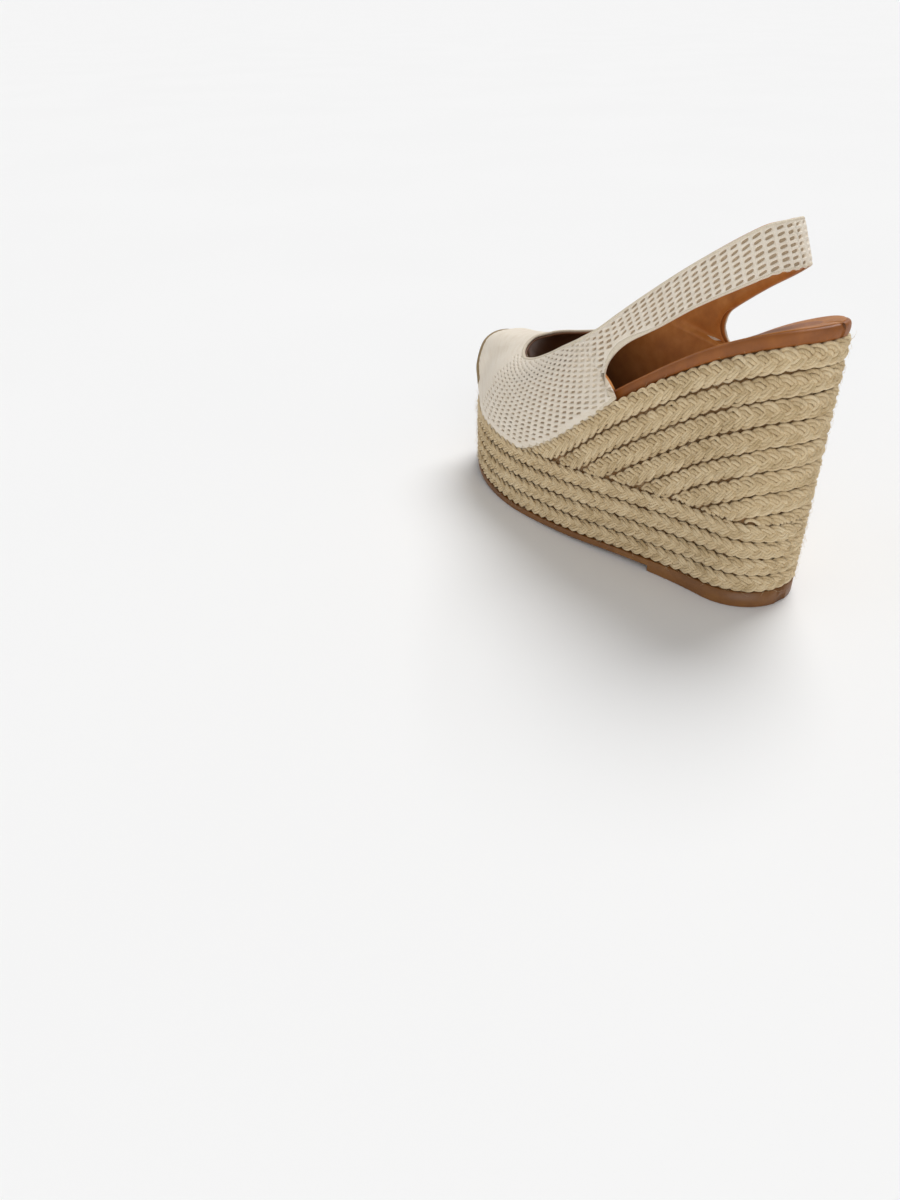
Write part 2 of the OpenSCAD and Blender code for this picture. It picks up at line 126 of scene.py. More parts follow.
# Ribs of the upper: lower point, upper point, bulge, azimuth, lean below, lean above
SLING_RIBS = [[[22.6, 0, 150.5], [31.0, 0, 168.0]], [[27.0, 12, 149.0], [35.0, 12, 166.2]],
              [[38.5, 19.5, 142.0], [46.0, 19, 158.6]], [[55.0, 24, 131.8], [62.5, 23, 147.0]],
              [[72.0, 27.2, 119.7], [80.0, 26, 133.6]]]
OPENING_RIBS = {
    1: [[[87, 29.5, 109.8], [95, 28.9, 121.3], 0.05, 20],
        [[94, 31.5, 102], [101.5, 29.7, 115.9], 0.1, 21],
        [[95.5, 33.8, 95.5], [107, 30.2, 111.5], 0.16, 23],
        [[92.4, 36.2, 89.6], [112, 30.3, 108.2], 0.24, 26],
        [[88.2, 38.2, 85.9], [115.5, 30.2, 106], 0.3, 29]],
    -1: [[[77, -28, 115], [92, -27.4, 123.2], 0.05, 20],
         [[79, -28.6, 109.5], [98, -27.8, 118.8], 0.08, 21],
         [[78.5, -29.2, 104.6], [104, -28, 114.4], 0.14, 23],
         [[75.4, -29.8, 100.2], [110, -27.9, 110.5], 0.22, 26],
         [[72, -30.2, 97.2], [114, -27.6, 108], 0.28, 29]]}
VAMP_RIBS = [[86, 70, 118, 30.0, 104.5, 105.7, 0.34, 90, 3, 31],
             [90.5, 76, 122, 29.5, 102.1, 103.8, 0.4, 90, 3, 33],
             [106, 98, 133, 28.1, 96.0, 98.8, 0.65, 92, 5, 38],
             [128, 126, 146, 26.2, 88.6, 92.6, 0.9, 95, 5, 44],
             [150, 150, 159.5, 23.5, 81.9, 88.2, 1, 100, 5, 49],
             [171, 171, 171.5, 20.0, 77.8, 85.4, 1, 108, 5, 56],
             [187, 187, 177.0, 17.2, 77.4, 84.6, 1, 118, 6, 61],
             [200, 200, 181.0, 14.0, 78.2, 84.0, 1, 130, 8, 66],
             [211, 211, 183.7, 10.5, 79.4, 83.4, 1, 142, 12, 70]]
RIM_RIBS = [[[217.2, 20, 51.5], [184.6, 8.8, 80.0], 1, 150, 21, 72],
            [[220.5, 18, 60.5], [185.2, 7, 80.6], 1, 158, 30, 74],
            [[225, 9.5, 71], [186.2, 3.5, 81.6], 1, 170, 52, 78],
            [[226, -2, 74.6], [186.5, 0, 82.2], 1, 180, 72, 80],
            [[225.5, -13.5, 71], [186.2, -3.5, 82.4], 1, 170, 52, 78],
            [[221.5, -22, 60.5], [185.2, -7, 82.8], 1, 158, 30, 74],
            [[218.2, -24.6, 51.5], [184.6, -8.4, 82.9], 1, 150, 21, 72]]


def floats(*values):
    """The values as arrays of numbers of one shape."""
    return np.broadcast_arrays(*(np.asarray(v, float) for v in values))


def to_row(p):
    return (np.asarray(p, float) - [CENTRE_X, SIDE_SHIFT, 0]) * MM


def curve(points, x):
    """A smooth curve through the points."""
    p = np.array(points, float)
    x = np.clip(np.asarray(x, float), p[0, 0], p[-1, 0])
    i = np.clip(np.searchsorted(p[:, 0], x, side="right") - 1, 0, len(p) - 2)
    n = np.arange(len(p))
    a, b = np.maximum(n - 1, 0), np.minimum(n + 1, len(p) - 1)
    m = (p[b, 1] - p[a, 1]) / (p[b, 0] - p[a, 0])
    h = p[i + 1, 0] - p[i, 0]
    t = (x - p[i, 0]) / h
    return ((2 * t**3 - 3 * t**2 + 1) * p[i, 1] + (t**3 - 2 * t**2 + t) * h * m[i]
            + (-2 * t**3 + 3 * t**2) * p[i + 1, 1] + (t**3 - t**2) * h * m[i + 1])


def smooth(t):
    t = np.clip(t, 0, 1)
    return t * t * (3 - 2 * t)


def unit(v):
    return v / np.maximum(np.linalg.norm(v, axis=-1, keepdims=True), 1e-9)


def end_cap(x):
    heel = 1 - np.clip(1 - x / HEEL_RADIUS, 0, 1) ** 2
    toe = 1 - np.clip((x - TOE_START) / (SOLE_LENGTH - TOE_START), 0, 1) ** TOE_POWER
    return np.sqrt(np.maximum(heel, 0)) * np.sqrt(np.maximum(toe, 0))


def plan_x(a):
    return SOLE_LENGTH / 2 * (1 - np.cos(np.radians(a)))


def plan_angle(x):
    return np.degrees(np.arccos(np.clip(1 - 2 * np.asarray(x, float) / SOLE_LENGTH, -1, 1)))


def plan_point(a):
    x = plan_x(a)
    return np.stack([x, curve(MIDDLE, x) + np.sign(a) * curve(HALF, x) * end_cap(x)], -1)


def plan_inward(a):
    a = np.asarray(a, float)
    d = plan_point(np.minimum(a + 0.5, 179.99)) - plan_point(np.maximum(a - 0.5, -179.99))
    return unit(np.stack([d[..., 1], -d[..., 0]], -1))


def sole_top(x):
    return (PLATE + HEEL_BLOCK_RISE * np.clip(1 - x / ARCH_END, 0, 1)
            + TOE_SPRING * np.clip((x - SPRING_START) / (SOLE_LENGTH - SPRING_START), 0, 1) ** 2)


def band_top(x):
    return sole_top(x) + BAND_HEIGHT


def wedge_top(x):
    return band_top(x) + np.maximum(curve(RISE, x), 0)


def row_top(k, x):
    """Height of wedge row k's upper edge, row 0 being the top one."""
    slope = (wedge_top(x + 1) - wedge_top(x - 1)) / 2
    return wedge_top(x) - k * ROW_PITCH * np.sqrt(1 + slope**2)


def wall(a, z, inset=0.0):
    """A point of the side wall at a height; it leans back and tapers towards the heel."""
    a, z, inset = floats(a, z, inset)
    p = plan_point(a)
    q = p + plan_inward(a) * inset[..., None]
    w = np.clip(1 - p[..., 0] / HEEL_REACH, 0, 1) * z / HEEL_SEAT
    m = curve(MIDDLE, q[..., 0])
    return np.stack([q[..., 0] - HEEL_OVERHANG * w,
                     m + (q[..., 1] - m) * (1 - HEEL_TAPER * w), z], -1)


def on_wedge(a, lift, inset):
    """A point above the wedge's top at a distance inside its edge."""
    a, lift, inset = floats(a, lift, inset)
    q = plan_point(a) + plan_inward(a) * inset[..., None]
    return wall(a, wedge_top(q[..., 0]) + lift, inset)


def feather(x, side):
    """Where the upper meets the top braid."""
    p = wall(side * plan_angle(x), wedge_top(x), FEATHER_INSET)
    return [p[0], p[1], float(wedge_top(p[0])) + FEATHER_LIFT]


def all_ribs():
    """The ribs from the heel back round the outer side, the peep rim and the inner side."""
    def row(low, high, bulge, azimuth, lean_low, lean_high):
        return [*low, *high, bulge, azimuth, lean_low, lean_high]

    def side_part(side):
        part = [row([e[0], side * e[1], e[2]], [i[0], side * i[1], i[2]], 0, 90, 0, 0)
                for e, i in SLING_RIBS]
        part += [row(e, i, bulge, 90, 0, lean) for e, i, bulge, lean in OPENING_RIBS[side]]
        for r in VAMP_RIBS:
            outer = side > 0
            part.append(row(feather(r[0] if outer else r[1], side),
                            [r[2], r[3] * (1 if outer else -0.9), r[4] if outer else r[5]],
                            r[6], r[7], r[8], r[9]))
        return part

    return np.array(side_part(1) + [row(*r) for r in RIM_RIBS] + side_part(-1)[:0:-1])


RIBS = all_ribs()
RIB_COUNT = len(RIBS)
RIM_FIRST = len(SLING_RIBS) + len(OPENING_RIBS[1]) + len(VAMP_RIBS)
RIM_LAST = RIM_FIRST + len(RIM_RIBS) - 1


RIM_MIDDLE = -2.01      # y that parts the outer ribs from the inner ones
RIB_REACH = 0.38        # length of a rib's handles, as a share of its chord


def upper_point(u, v):
    """A point of the upper's outer face: u counts the ribs, v runs up each one."""
    u, v = floats(np.asarray(u, float) % RIB_COUNT, v)
    i = np.floor(u).astype(int)
    t = (u - i)[..., None]
    a, b, c, d = (RIBS[(i + k) % RIB_COUNT] for k in (-1, 0, 1, 2))
    r = 0.5 * (2 * b + (c - a) * t + (2 * a - 5 * b + 4 * c - d) * t**2
               + (3 * b - a - 3 * c + d) * t**3)
    v = v[..., None]
    low, high, bulge = r[..., 0:3], r[..., 3:6], r[..., 6:7]
    side = np.sign(low[..., 1] - RIM_MIDDLE)
    reach = RIB_REACH * np.linalg.norm(high - low, axis=-1)[..., None]
    azimuth = np.radians(r[..., 7])

    def lean(angle):
        s = np.sin(angle)
        return np.stack([s * np.cos(azimuth), -side * s * np.sin(azimuth), np.cos(angle)], -1)

    third = (high - low) / 3
    p = (1 - bulge) * (low + third) + bulge * (low + reach * lean(np.radians(r[..., 8])))
    q = (1 - bulge) * (high - third) + bulge * (high - reach * lean(np.radians(r[..., 9])))
    return (1 - v) ** 3 * low + 3 * (1 - v) ** 2 * v * p + 3 * (1 - v) * v**2 * q + v**3 * high


CORNER_FROM, CORNER_TO = 7.4, 12.2     # ribs round the lower corner of a side opening


def rib_normal(u, v):
    """Inward normal of the surface itself."""
    w = np.clip(v, 0.1, 0.9)
    du = upper_point(u + 0.2, w) - upper_point(u - 0.2, w)
    dv = upper_point(u, w + 0.05) - upper_point(u, w - 0.05)
    return unit(np.cross(du, dv))


def upper_normal(u, v):
    """Inward normal; round the corner of a side opening it turns evenly from rib to rib."""
    u, v = floats(np.asarray(u, float) % RIB_COUNT, v)
    inner_side = u > RIB_COUNT / 2
    f = np.where(inner_side, RIB_COUNT - u, u)
    t = ((f - CORNER_FROM) / (CORNER_TO - CORNER_FROM))[..., None]
    before = np.where(inner_side, RIB_COUNT - CORNER_FROM, CORNER_FROM)
    after = np.where(inner_side, RIB_COUNT - CORNER_TO, CORNER_TO)
    even = unit((1 - t) * rib_normal(before, v) + t * rib_normal(after, v))
    return np.where((t > 0) & (t < 1), even, rib_normal(u, v))


# ---------------------------------------------------------------- meshes


def make_piece(name, verts, faces, uv=None, values=None, body=SHOE):
    """A mesh piece from working-axes points; uv is per vertex, values are point attributes."""
    faces = [np.asarray(f, int) for f in faces if len(f)]
    verts = to_row(verts)
    loops = np.concatenate([f.ravel() for f in faces])
    totals = np.concatenate([np.full(len(f), f.shape[1]) for f in faces])
    starts = np.concatenate([[0], np.cumsum(totals)[:-1]])
    mesh = bpy.data.meshes.new(name)
    mesh.vertices.add(len(verts))
    mesh.vertices.foreach_set("co", verts.astype(np.float32).ravel())
    mesh.loops.add(len(loops))
    mesh.loops.foreach_set("vertex_index", loops.astype(np.int32))
    mesh.polygons.add(len(totals))
    mesh.polygons.foreach_set("loop_start", starts.astype(np.int32))
    mesh.update(calc_edges=True)
    mesh.polygons.foreach_set("use_smooth", np.ones(len(totals), bool))
    if uv is not None:
        layer = mesh.uv_layers.new(name="UVMap")
        layer.data.foreach_set("uv", np.asarray(uv, np.float32)[loops].ravel())
    for key, v in (values or {}).items():
        attribute = mesh.attributes.new(key, "FLOAT", "POINT")
        attribute.data.foreach_set("value", np.asarray(v, np.float32))
    mesh.validate()
    mesh.update()
    obj = add_object(name, mesh)
    if body:
        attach(obj, body)
    return obj


def grid_faces(n, m, close_n=False, close_m=False, first=0):
    """Quads over n rows of m points; a closed direction joins its last row to its first."""
    i, j = np.meshgrid(np.arange(n if close_n else n - 1), np.arange(m if close_m else m - 1),
                       indexing="ij")
    i2, j2 = (i + 1) % n, (j + 1) % m
    return np.stack([i * m + j, i2 * m + j, i2 * m + j2, i * m + j2], -1).reshape(-1, 4) + first


def loft_faces(n, m, closed=False):
    """Faces round n rings of m points, with a cap at each end unless the rings close."""
    faces = [grid_faces(n, m, close_n=closed, close_m=True)]
    if not closed:
        faces += [np.arange(m)[None, ::-1], (np.arange(m) + (n - 1) * m)[None, :]]
    return faces


def walked(points):
    """Length walked along the points, at each of them."""
    step = np.linalg.norm(np.diff(points, axis=0), axis=1)
    return np.concatenate([[0], np.cumsum(step)])


def ease_noise(n, step):
    """Smooth random wander of n samples, a new random value every step samples."""
    knots = rng.uniform(-1, 1, int(n / step) + 4)
    x = np.arange(n) / step
    i = x.astype(int)
    t = smooth(x - i)
    return knots[i] * (1 - t) + knots[i + 1] * t


def fix_normals(obj):
    """Turns the faces outwards and drops points that no face uses."""
    bm = bmesh.new()
    bm.from_mesh(obj.data)
    bmesh.ops.delete(bm, geom=[v for v in bm.verts if not v.link_faces], context="VERTS")
    bmesh.ops.recalc_face_normals(bm, faces=bm.faces)
    bm.to_mesh(obj.data)
    bm.free()


def tube_set(paths, radii, ref, sides, lobes=0.0, ply=5.0, closed=False):
    """Tubes along paths (list of n x 3 arrays), ref gives each point's outward direction.
    Returns vertices, faces, uv (mm along, share round) and the index of each vertex's tube."""
    verts, faces, uvs, ids, first = [], [], [], [], 0
    phi = np.arange(sides) / sides * 2 * np.pi
    for k, (p, r, n) in enumerate(zip(paths, radii, ref)):
        if closed:
            tangent = unit(np.roll(p, -1, 0) - np.roll(p, 1, 0))
        else:
            tangent = unit(np.gradient(p, axis=0))
        side = unit(np.cross(tangent, n))
        up = np.cross(side, tangent)
        length = walked(p)
        twist = 2 * np.pi * length / ply
        wave = 1 + lobes * np.cos(2 * (phi[None, :] - twist[:, None]))
        ring = -(np.cos(phi)[None, :, None] * up[:, None, :]
                 + np.sin(phi)[None, :, None] * side[:, None, :])
        v = p[:, None, :] + ring * (np.asarray(r)[:, None] * wave)[..., None]
        count = len(p)
        verts.append(v.reshape(-1, 3))
        faces.append(grid_faces(count, sides, close_n=closed, close_m=True, first=first))
        uvs.append(np.stack(np.broadcast_arrays(
            length[:, None], (phi / (2 * np.pi))[None, :] - twist[:, None] / (2 * np.pi)),
            -1).reshape(-1, 2))
        ids.append(np.full(count * sides, k))
        if not closed:
            caps = np.arange(sides)
            fan = np.stack([np.zeros(sides - 2, int), caps[1:-1], caps[2:]], -1)
            faces.append(fan + first)
            faces.append(fan[:, ::-1] + first + (count - 1) * sides)
        first += count * sides
    return (np.concatenate(verts), faces, np.concatenate(uvs), np.concatenate(ids))


# ---------------------------------------------------------------- braids

BAND_COUNT, WEDGE_COUNT = 4, 8
YARNS = 3               # yarns side by side in each of a braid's three strands
CHEVRON = 5.7           # length of the braid between two crossings
YARN_STEP = 0.95        # length between two points of a yarn
YARN_PITCH, YARN_RADIUS, BRAID_GAP = 0.143, 0.084, 0.002    # shares of a row's width
YARN_SIDES, YARN_LOBES, YARN_PLY = 8, 0.1, 4.4
PLAIT_DEPTH, PLAIT_WAVE, PLAIT_ROUND = 2.15, 0.85, 0.5      # depth below the wall, its changes
WANDER_STEP, WANDER_FADE = 9, 12        # points between two random values, and at a row's join
BRAID_CUT = 0.3         # how far above the band a wedge row is cut off
SHORTEST_YARN = 4       # points of the shortest cut yarn that stays


class Row:
    """One braid row: where it runs on the wall, as functions of its arc length s. Its lower
    and upper edges are at the heights that the function level gives for low and high."""

    def __init__(self, angles, level, low, high, width, closed):
        self.low, self.high = (lambda x: level(low, x)), (lambda x: level(high, x))
        x = plan_x(angles)
        self.s = walked(wall(angles, (self.low(x) + self.high(x)) / 2, 0))
        self.angles, self.width, self.closed = angles, width, closed
        self.length = self.s[-1]

    def angle(self, s):
        if self.closed:
            s = s % self.length
        return np.interp(s, self.s, self.angles)

    def point(self, s, q, depth):
        a = self.angle(s)
        x = plan_x(a)
        return wall(a, self.low(x) + q * (self.high(x) - self.low(x)), depth)


def braid(name, row):
    """Three strands of parallel twisted yarns, plaited flat along a row."""
    nominal = row.width
    period = 3 * CHEVRON
    if row.closed:
        period = row.length / round(row.length / period)
    yarn_pitch, radius = nominal * YARN_PITCH, nominal * YARN_RADIUS
    amplitude = nominal / 2 - (YARNS - 1) / 2 * yarn_pitch - radius - BRAID_GAP * nominal
    count = int(row.length / YARN_STEP)
    s0 = np.linspace(0, row.length, count, endpoint=not row.closed)
    paths, radii, refs = [], [], []
    wander = [ease_noise(count, WANDER_STEP) for _ in range(3 * YARNS * 3)]
    if row.closed:
        fade = smooth(np.minimum(np.arange(count), np.arange(count)[::-1]) / WANDER_FADE)
        wander = [w * fade for w in wander]
    for strand in range(3):
        theta = 2 * np.pi * s0 / period + 2 * np.pi * strand / 3
        for yarn in range(YARNS):
            w1, w2, w3 = (wander[(strand * YARNS + yarn) * 3 + i] for i in range(3))
            offset = (yarn - (YARNS - 1) / 2) * yarn_pitch * (1 + 0.1 * w1)
            rise = -amplitude * np.sin(theta) * 2 * np.pi / period
            norm = np.sqrt(1 + rise**2)
            s = s0 - offset * rise / norm
            across = amplitude * np.cos(theta) + offset / norm + 0.16 * w2
            depth = (PLAIT_DEPTH + PLAIT_WAVE * np.sin(2 * theta)
                     + 0.10 * abs(yarn - (YARNS - 1) / 2) + 0.14 * w3)
            q = 0.5 + across / nominal
            share = np.clip(abs(across) / (nominal / 2), 0, 1)
            depth = depth - PLAIT_ROUND * np.sin(np.pi * share) ** 2
            p = row.point(s, q, depth)
            n = unit(row.point(s, q, depth - 0.5) - p)
            paths.append(p)
            radii.append(radius * (1 + 0.09 * w1 + 0.06 * w3))
            refs.append(n)
    if not row.closed:
        pieces = []
        for p, r, n in zip(paths, radii, refs):
            keep = p[:, 2] > band_top(p[:, 0]) + BRAID_CUT
            edges = np.flatnonzero(np.diff(np.concatenate([[0], keep.astype(int), [0]])))
            for a, b in zip(edges[::2], edges[1::2]):
                if b - a >= SHORTEST_YARN:
                    pieces.append((p[a:b], r[a:b], n[a:b]))
        paths, radii, refs = (list(t) for t in zip(*pieces))
    return make_tubes(name, paths, radii, refs, YARN_SIDES, lobes=YARN_LOBES, ply=YARN_PLY,
                      closed=row.closed)


def make_tubes(name, paths, radii, refs, sides, **shape):
    """A piece of many tubes, each with a random tone of its own."""
    verts, faces, uv, ids = tube_set(paths, radii, refs, sides, **shape)
    tone = rng.uniform(0, 1, len(paths))[ids]
    return make_piece(name, verts, faces, uv=uv, values={"tone": tone})


def band_level(k, x):
    return sole_top(x) + k * BAND_HEIGHT / BAND_COUNT


def wedge_angles(k):
    """Plan angles of a wedge row, down to where it meets the band."""
    x = np.arange(2, ARCH_END + 4, 0.5)
    out = x[row_top(k, x) - band_top(x) < BRAID_CUT]
    last = plan_angle(out[0] if len(out) else x[-1])
    return np.linspace(-last, last, 401)


ROUND = np.linspace(-179.9, 179.9, 721)
BAND_ROWS = [Row(ROUND, band_level, k, k + 1, BAND_HEIGHT / BAND_COUNT, True)
             for k in range(BAND_COUNT)]
WEDGE_ROWS = [Row(wedge_angles(k), row_top, k + 1, k, ROW_PITCH, False)
              for k in range(WEDGE_COUNT)]
braids = []
for part, rows in (("band", BAND_ROWS), ("wedge", WEDGE_ROWS)):
    for k, row in enumerate(rows, 1):
        obj = braid(f"jute_{part}_{k}", row)
        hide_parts(f"{part}_braid_{k}")
        braids.append(obj)


FIBRE_COUNT, FIBRE_POINTS, FIBRE_RADIUS = 3500, 6, 0.055


def loose_fibres(name, count):
    """Short stray hairs of jute standing off the braids."""
    paths, radii, refs = [], [], []
    rows = BAND_ROWS + WEDGE_ROWS
    weights = np.array([r.length for r in rows])
    for pick in rng.choice(len(rows), count, p=weights / weights.sum()):
        row = rows[pick]
        s, q = rng.uniform(0, row.length), rng.uniform(0.02, 0.98)
        turn, bend, lift = rng.uniform(-0.9, 0.9), rng.uniform(-0.5, 0.5), rng.uniform(0.05, 0.5)
        length = rng.uniform(1.5, 4.5) if rng.uniform() < 0.7 else rng.uniform(4, 8)
        t = np.linspace(0, 1, FIBRE_POINTS)
        way = turn + bend * t
        ds, dq = np.cos(way) * length * t, np.sin(way) * length * t / row.width
        if rng.uniform() < 0.5:
            ds = -ds
        s_all = s + ds if row.closed else np.clip(s + ds, 0.5, row.length - 0.5)
        q_all = np.clip(q + dq, -0.05, 1.12)
        depth = 0.75 - (0.9 + lift * length * 0.5) * np.sin(np.pi * t * 0.62)
        p = row.point(s_all, q_all, depth)
        if p[:, 2].min() < band_top(p[:, 0]).min() and not row.closed:
            continue
        paths.append(p)
        radii.append(FIBRE_RADIUS * (1 - 0.6 * t))
        refs.append(unit(row.point(s_all, q_all, depth - 0.5) - p + [1e-6, 0, 0]))
    return make_tubes(name, paths, radii, refs, 3)


fibres = loose_fibres("jute_loose_fibres", FIBRE_COUNT)

# ---------------------------------------------------------------- outsole

OUTSOLE_INSET, OUTSOLE_ROUND = 0.6, 0.6     # how far in its side is, and its lower corner
TREAD_FROM, TREAD_TO, TREAD_PITCH, TREAD_DEPTH, TREAD_BORDER = 7.0, 54.5, 1.25, 0.4, 3.6
GROOVE_SLOPE, STEP_GAP = 0.12, 0.02
ACROSS = [0, 0.03, 0.06, 0.135, 0.15, 0.3, 0.5, 0.7, 0.85, 0.865, 0.94, 0.97, 1]


def outsole_bottom(x, inside):
    """Height of the rubber's underside; inside is the distance from its edge."""
    tread = (x > TREAD_FROM) & (x < TREAD_TO) & (inside > TREAD_BORDER)
    groove = tread & ((x / TREAD_PITCH) % 1 > 0.5)
    return np.where(x <= HEEL_BLOCK_LENGTH, TREAD_DEPTH * groove,
                    np.maximum(sole_top(x) - PLATE, 0))


def outsole_stations():
    """Places along the sole: close at its ends, at the sides of the grooves and at the step."""
    grooves = np.arange(2 * int(TREAD_FROM / TREAD_PITCH),
                        2 * int(TREAD_TO / TREAD_PITCH) + 4) / 2 * TREAD_PITCH
    grooves = grooves[(grooves >= TREAD_FROM) & (grooves <= TREAD_TO)]
    block = HEEL_BLOCK_LENGTH
    return np.sort(np.concatenate([
        np.arange(0.25, TREAD_FROM, 1.1), grooves - GROOVE_SLOPE, grooves + GROOVE_SLOPE,
        [TREAD_TO + 0.3, block - 1.5, block - 0.5, block - STEP_GAP, block + STEP_GAP,
         block + 0.6], np.arange(60, 220, 2.5), np.arange(220, 227.6, 0.7), [227.8]]))


def make_outsole():
    """The moulded rubber: bevelled edges, a ribbed heel block and its step, a smooth forefoot."""
    x = outsole_stations()
    a, top, low = plan_angle(x), sole_top(x), outsole_bottom(x, 0)
    outer, inner = ([wall(side * a, z, OUTSOLE_INSET + inset) for z, inset in
                     ((top, 0.5), (top - 0.1, 0.05), (low + 0.7, 0), (low + 0.2, 0.15))]
                    for side in (1, -1))
    lo, hi = (wall(side * a, 0, OUTSOLE_INSET + OUTSOLE_ROUND) for side in (1, -1))
    bottom = [lo + (hi - lo) * share for share in ACROSS]
    for line, share in zip(bottom, ACROSS):
        inside = min(share, 1 - share) * np.linalg.norm(hi - lo, axis=-1)
        line[:, 2] = outsole_bottom(x, inside)
    over = [inner[0] + (outer[0] - inner[0]) * share for share in (0.33, 0.67)]
    verts = np.stack(outer + bottom + inner[::-1] + over, 1)
    obj = make_piece("outsole_rubber", verts.reshape(-1, 3), loft_faces(*verts.shape[:2]))
    fix_normals(obj)
    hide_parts("outsole")
    return obj


outsole = make_outsole()

# ---------------------------------------------------------------- footbed

BED_OPEN, BED_VAMP, DRAW_START, DRAW_LENGTH = 1.5, 6.0, 50.0, 24.0
BED_RINGS, BED_ACROSS, BED_STEP = 170, 9, 1.5
BED_WIDE = 50.0         # the width at which the sock sags in full
SOCK_TOP = 6.75
INSIDE_FROM, INSIDE_FADE, BED_SHADE = 112.0, 40.0, 0.75  # painted shade: from here towards the toe the footbed is darkened, for its shadow inside the vamp


def bed_inset(x):
    return BED_OPEN + (BED_VAMP - BED_OPEN) * np.clip((x - DRAW_START) / DRAW_LENGTH, 0, 1)


def bed_rings(profile, dish, first, last):
    """Rings across the footbed: up one side by the profile's (inset, lift), over and down."""
    a = first + (last - first) * np.linspace(0, 1, BED_RINGS)
    rows = [np.stack([on_wedge(side * a, lift, bed_inset(plan_x(a)) + inset)
                      for inset, lift in profile], 1) for side in (1, -1)]
    share = np.linspace(0, 1, BED_ACROSS + 2)[1:-1]
    lo, hi = rows[0][:, -1], rows[1][:, -1]
    mid = lo[:, None, :] + (hi - lo)[:, None, :] * share[None, :, None]
    sag = dish * 4 * share * (1 - share)
    width = np.linalg.norm(hi - lo, axis=-1)
    mid[..., 2] -= sag[None, :] * np.clip(width / BED_WIDE, 0, 1)[:, None]
    return np.concatenate([rows[0], mid, rows[1][:, ::-1]], 1)


def make_bed(name, profile, nodes, dish=0.0, first=1.5, last=178.6):
    top = bed_rings(profile, dish, first, last)
    t = np.linspace(0, 1, top.shape[1])[None, :, None]
    below = (1 - t) * top[:, :1] + t * top[:, -1:]
    verts = np.concatenate([top, below[:, 1:-1][:, ::-1]], 1)
    n, m = verts.shape[:2]
    along, across = np.broadcast_arrays(np.arange(n)[:, None] * BED_STEP,
                                        walked(verts[n // 2])[None, :])
    # Painted shade: a darkening value that grows towards the toe, for the footbed's shadow inside
    # the vamp.
    shade = BED_SHADE * smooth((verts[..., 0] - INSIDE_FROM) / INSIDE_FADE).ravel()
    obj = make_piece(name, verts.reshape(-1, 3), loft_faces(n, m),
                     uv=np.stack([along, across], -1).reshape(-1, 2), values={"shade": shade})
    fix_normals(obj)
    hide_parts(*nodes)
    return obj


EDGE_PROFILE = [(0.9, 0.05), (0.25, 0.2), (-0.1, 1.2), (-0.25, 2.8), (-0.1, 4.4), (0.35, 5.4),
                (1.0, 6.0), (1.9, 6.25), (3.2, 6.25)]
SOCK_PROFILE = [(2.35, 5.9), (2.2, 6.2), (2.3, 6.55), (2.6, SOCK_TOP), (3.4, SOCK_TOP + 0.06),
                (6.0, SOCK_TOP - 0.05), (10.0, SOCK_TOP - 0.35)]
edge_wrap = make_bed("footbed_edge_wrap", EDGE_PROFILE, ["edge_cover", "footbed_foam"])
sock = make_bed("footbed_sock", SOCK_PROFILE, ["sock_lining"], dish=0.7,
                first=3.0, last=177.0)

# ---------------------------------------------------------------- cloth of the upper, laid flat

CLOTH_U, CLOTH_V = 240, 16      # grid of points on the upper, along it and across it
CELL_X, CELL_Y = CELL = np.array([2.5, 4.8])    # spacing of the holes across and along rows
STRAP_WIDTH = 19.2              # width of cloth in the strap, seven rows of holes and its edges
STRAIGHT_TO, STRAIGHT_FADE = 4.0, 2.5   # rib to which the rows follow the strap, and the fade


def cloth_ribs():
    """Ribs at even spaces along the upper's middle, cut at the heel back."""
    fine = np.linspace(0, RIB_COUNT, CLOTH_U * 4 + 1)
    s = walked(upper_point(fine, 0.5))
    return np.interp(np.linspace(0, s[-1], CLOTH_U + 1), s, fine)


def flatten(us):
    """The upper laid flat in millimetres: grid coordinates, area and box of the pattern."""
    u, v = np.meshgrid(us, np.linspace(0, 1, CLOTH_V + 1), indexing="ij")
    points = upper_point(u, v).reshape(-1, 3)
    quads = grid_faces(CLOTH_U + 1, CLOTH_V + 1)
    mesh = bpy.data.meshes.new("pattern")
    mesh.from_pydata(points.tolist(), [], quads.tolist())
    obj = add_object("pattern", mesh)
    for other in bpy.context.selected_objects:
        other.select_set(False)
    bpy.context.view_layer.objects.active = obj
    obj.select_set(True)
    bpy.ops.object.mode_set(mode="EDIT")
    bpy.ops.mesh.select_all(action="SELECT")
    bpy.ops.uv.unwrap(method="MINIMUM_STRETCH", fill_holes=False, iterations=30)
    bpy.ops.object.mode_set(mode="OBJECT")
    uv = np.zeros(len(mesh.loops) * 2, np.float32)
    index = np.zeros(len(mesh.loops), np.int32)
    mesh.uv_layers[0].data.foreach_get("uv", uv)
    mesh.loops.foreach_get("vertex_index", index)
    flat = np.zeros((len(points), 2))
    flat[index] = uv.reshape(-1, 2)
    area = sum(p.area for p in mesh.polygons)
    bpy.data.objects.remove(obj)
    bpy.data.meshes.remove(mesh)
    q = flat[quads]
    nxt = np.roll(q, -1, axis=1)
    flat_area = 0.5 * np.abs((q[..., 0] * nxt[..., 1] - nxt[..., 0] * q[..., 1]).sum(1)).sum()
    flat = (flat * math.sqrt(area / flat_area)).reshape(CLOTH_U + 1, CLOTH_V + 1, 2)
    ends = (flat[0].mean(0) + flat[-1].mean(0)) / 2
    along = unit(flat[CLOTH_U // 2].mean(0) - ends)
    across = np.array([-along[1], along[0]])
    if (flat[0].mean(0) - ends) @ across < 0:
        across = -across
    flat = np.stack([(flat - ends) @ along, (flat - ends) @ across], -1)
    size = np.ptp(flat.reshape(-1, 2), axis=0)
    return straighten(flat, us), area, size


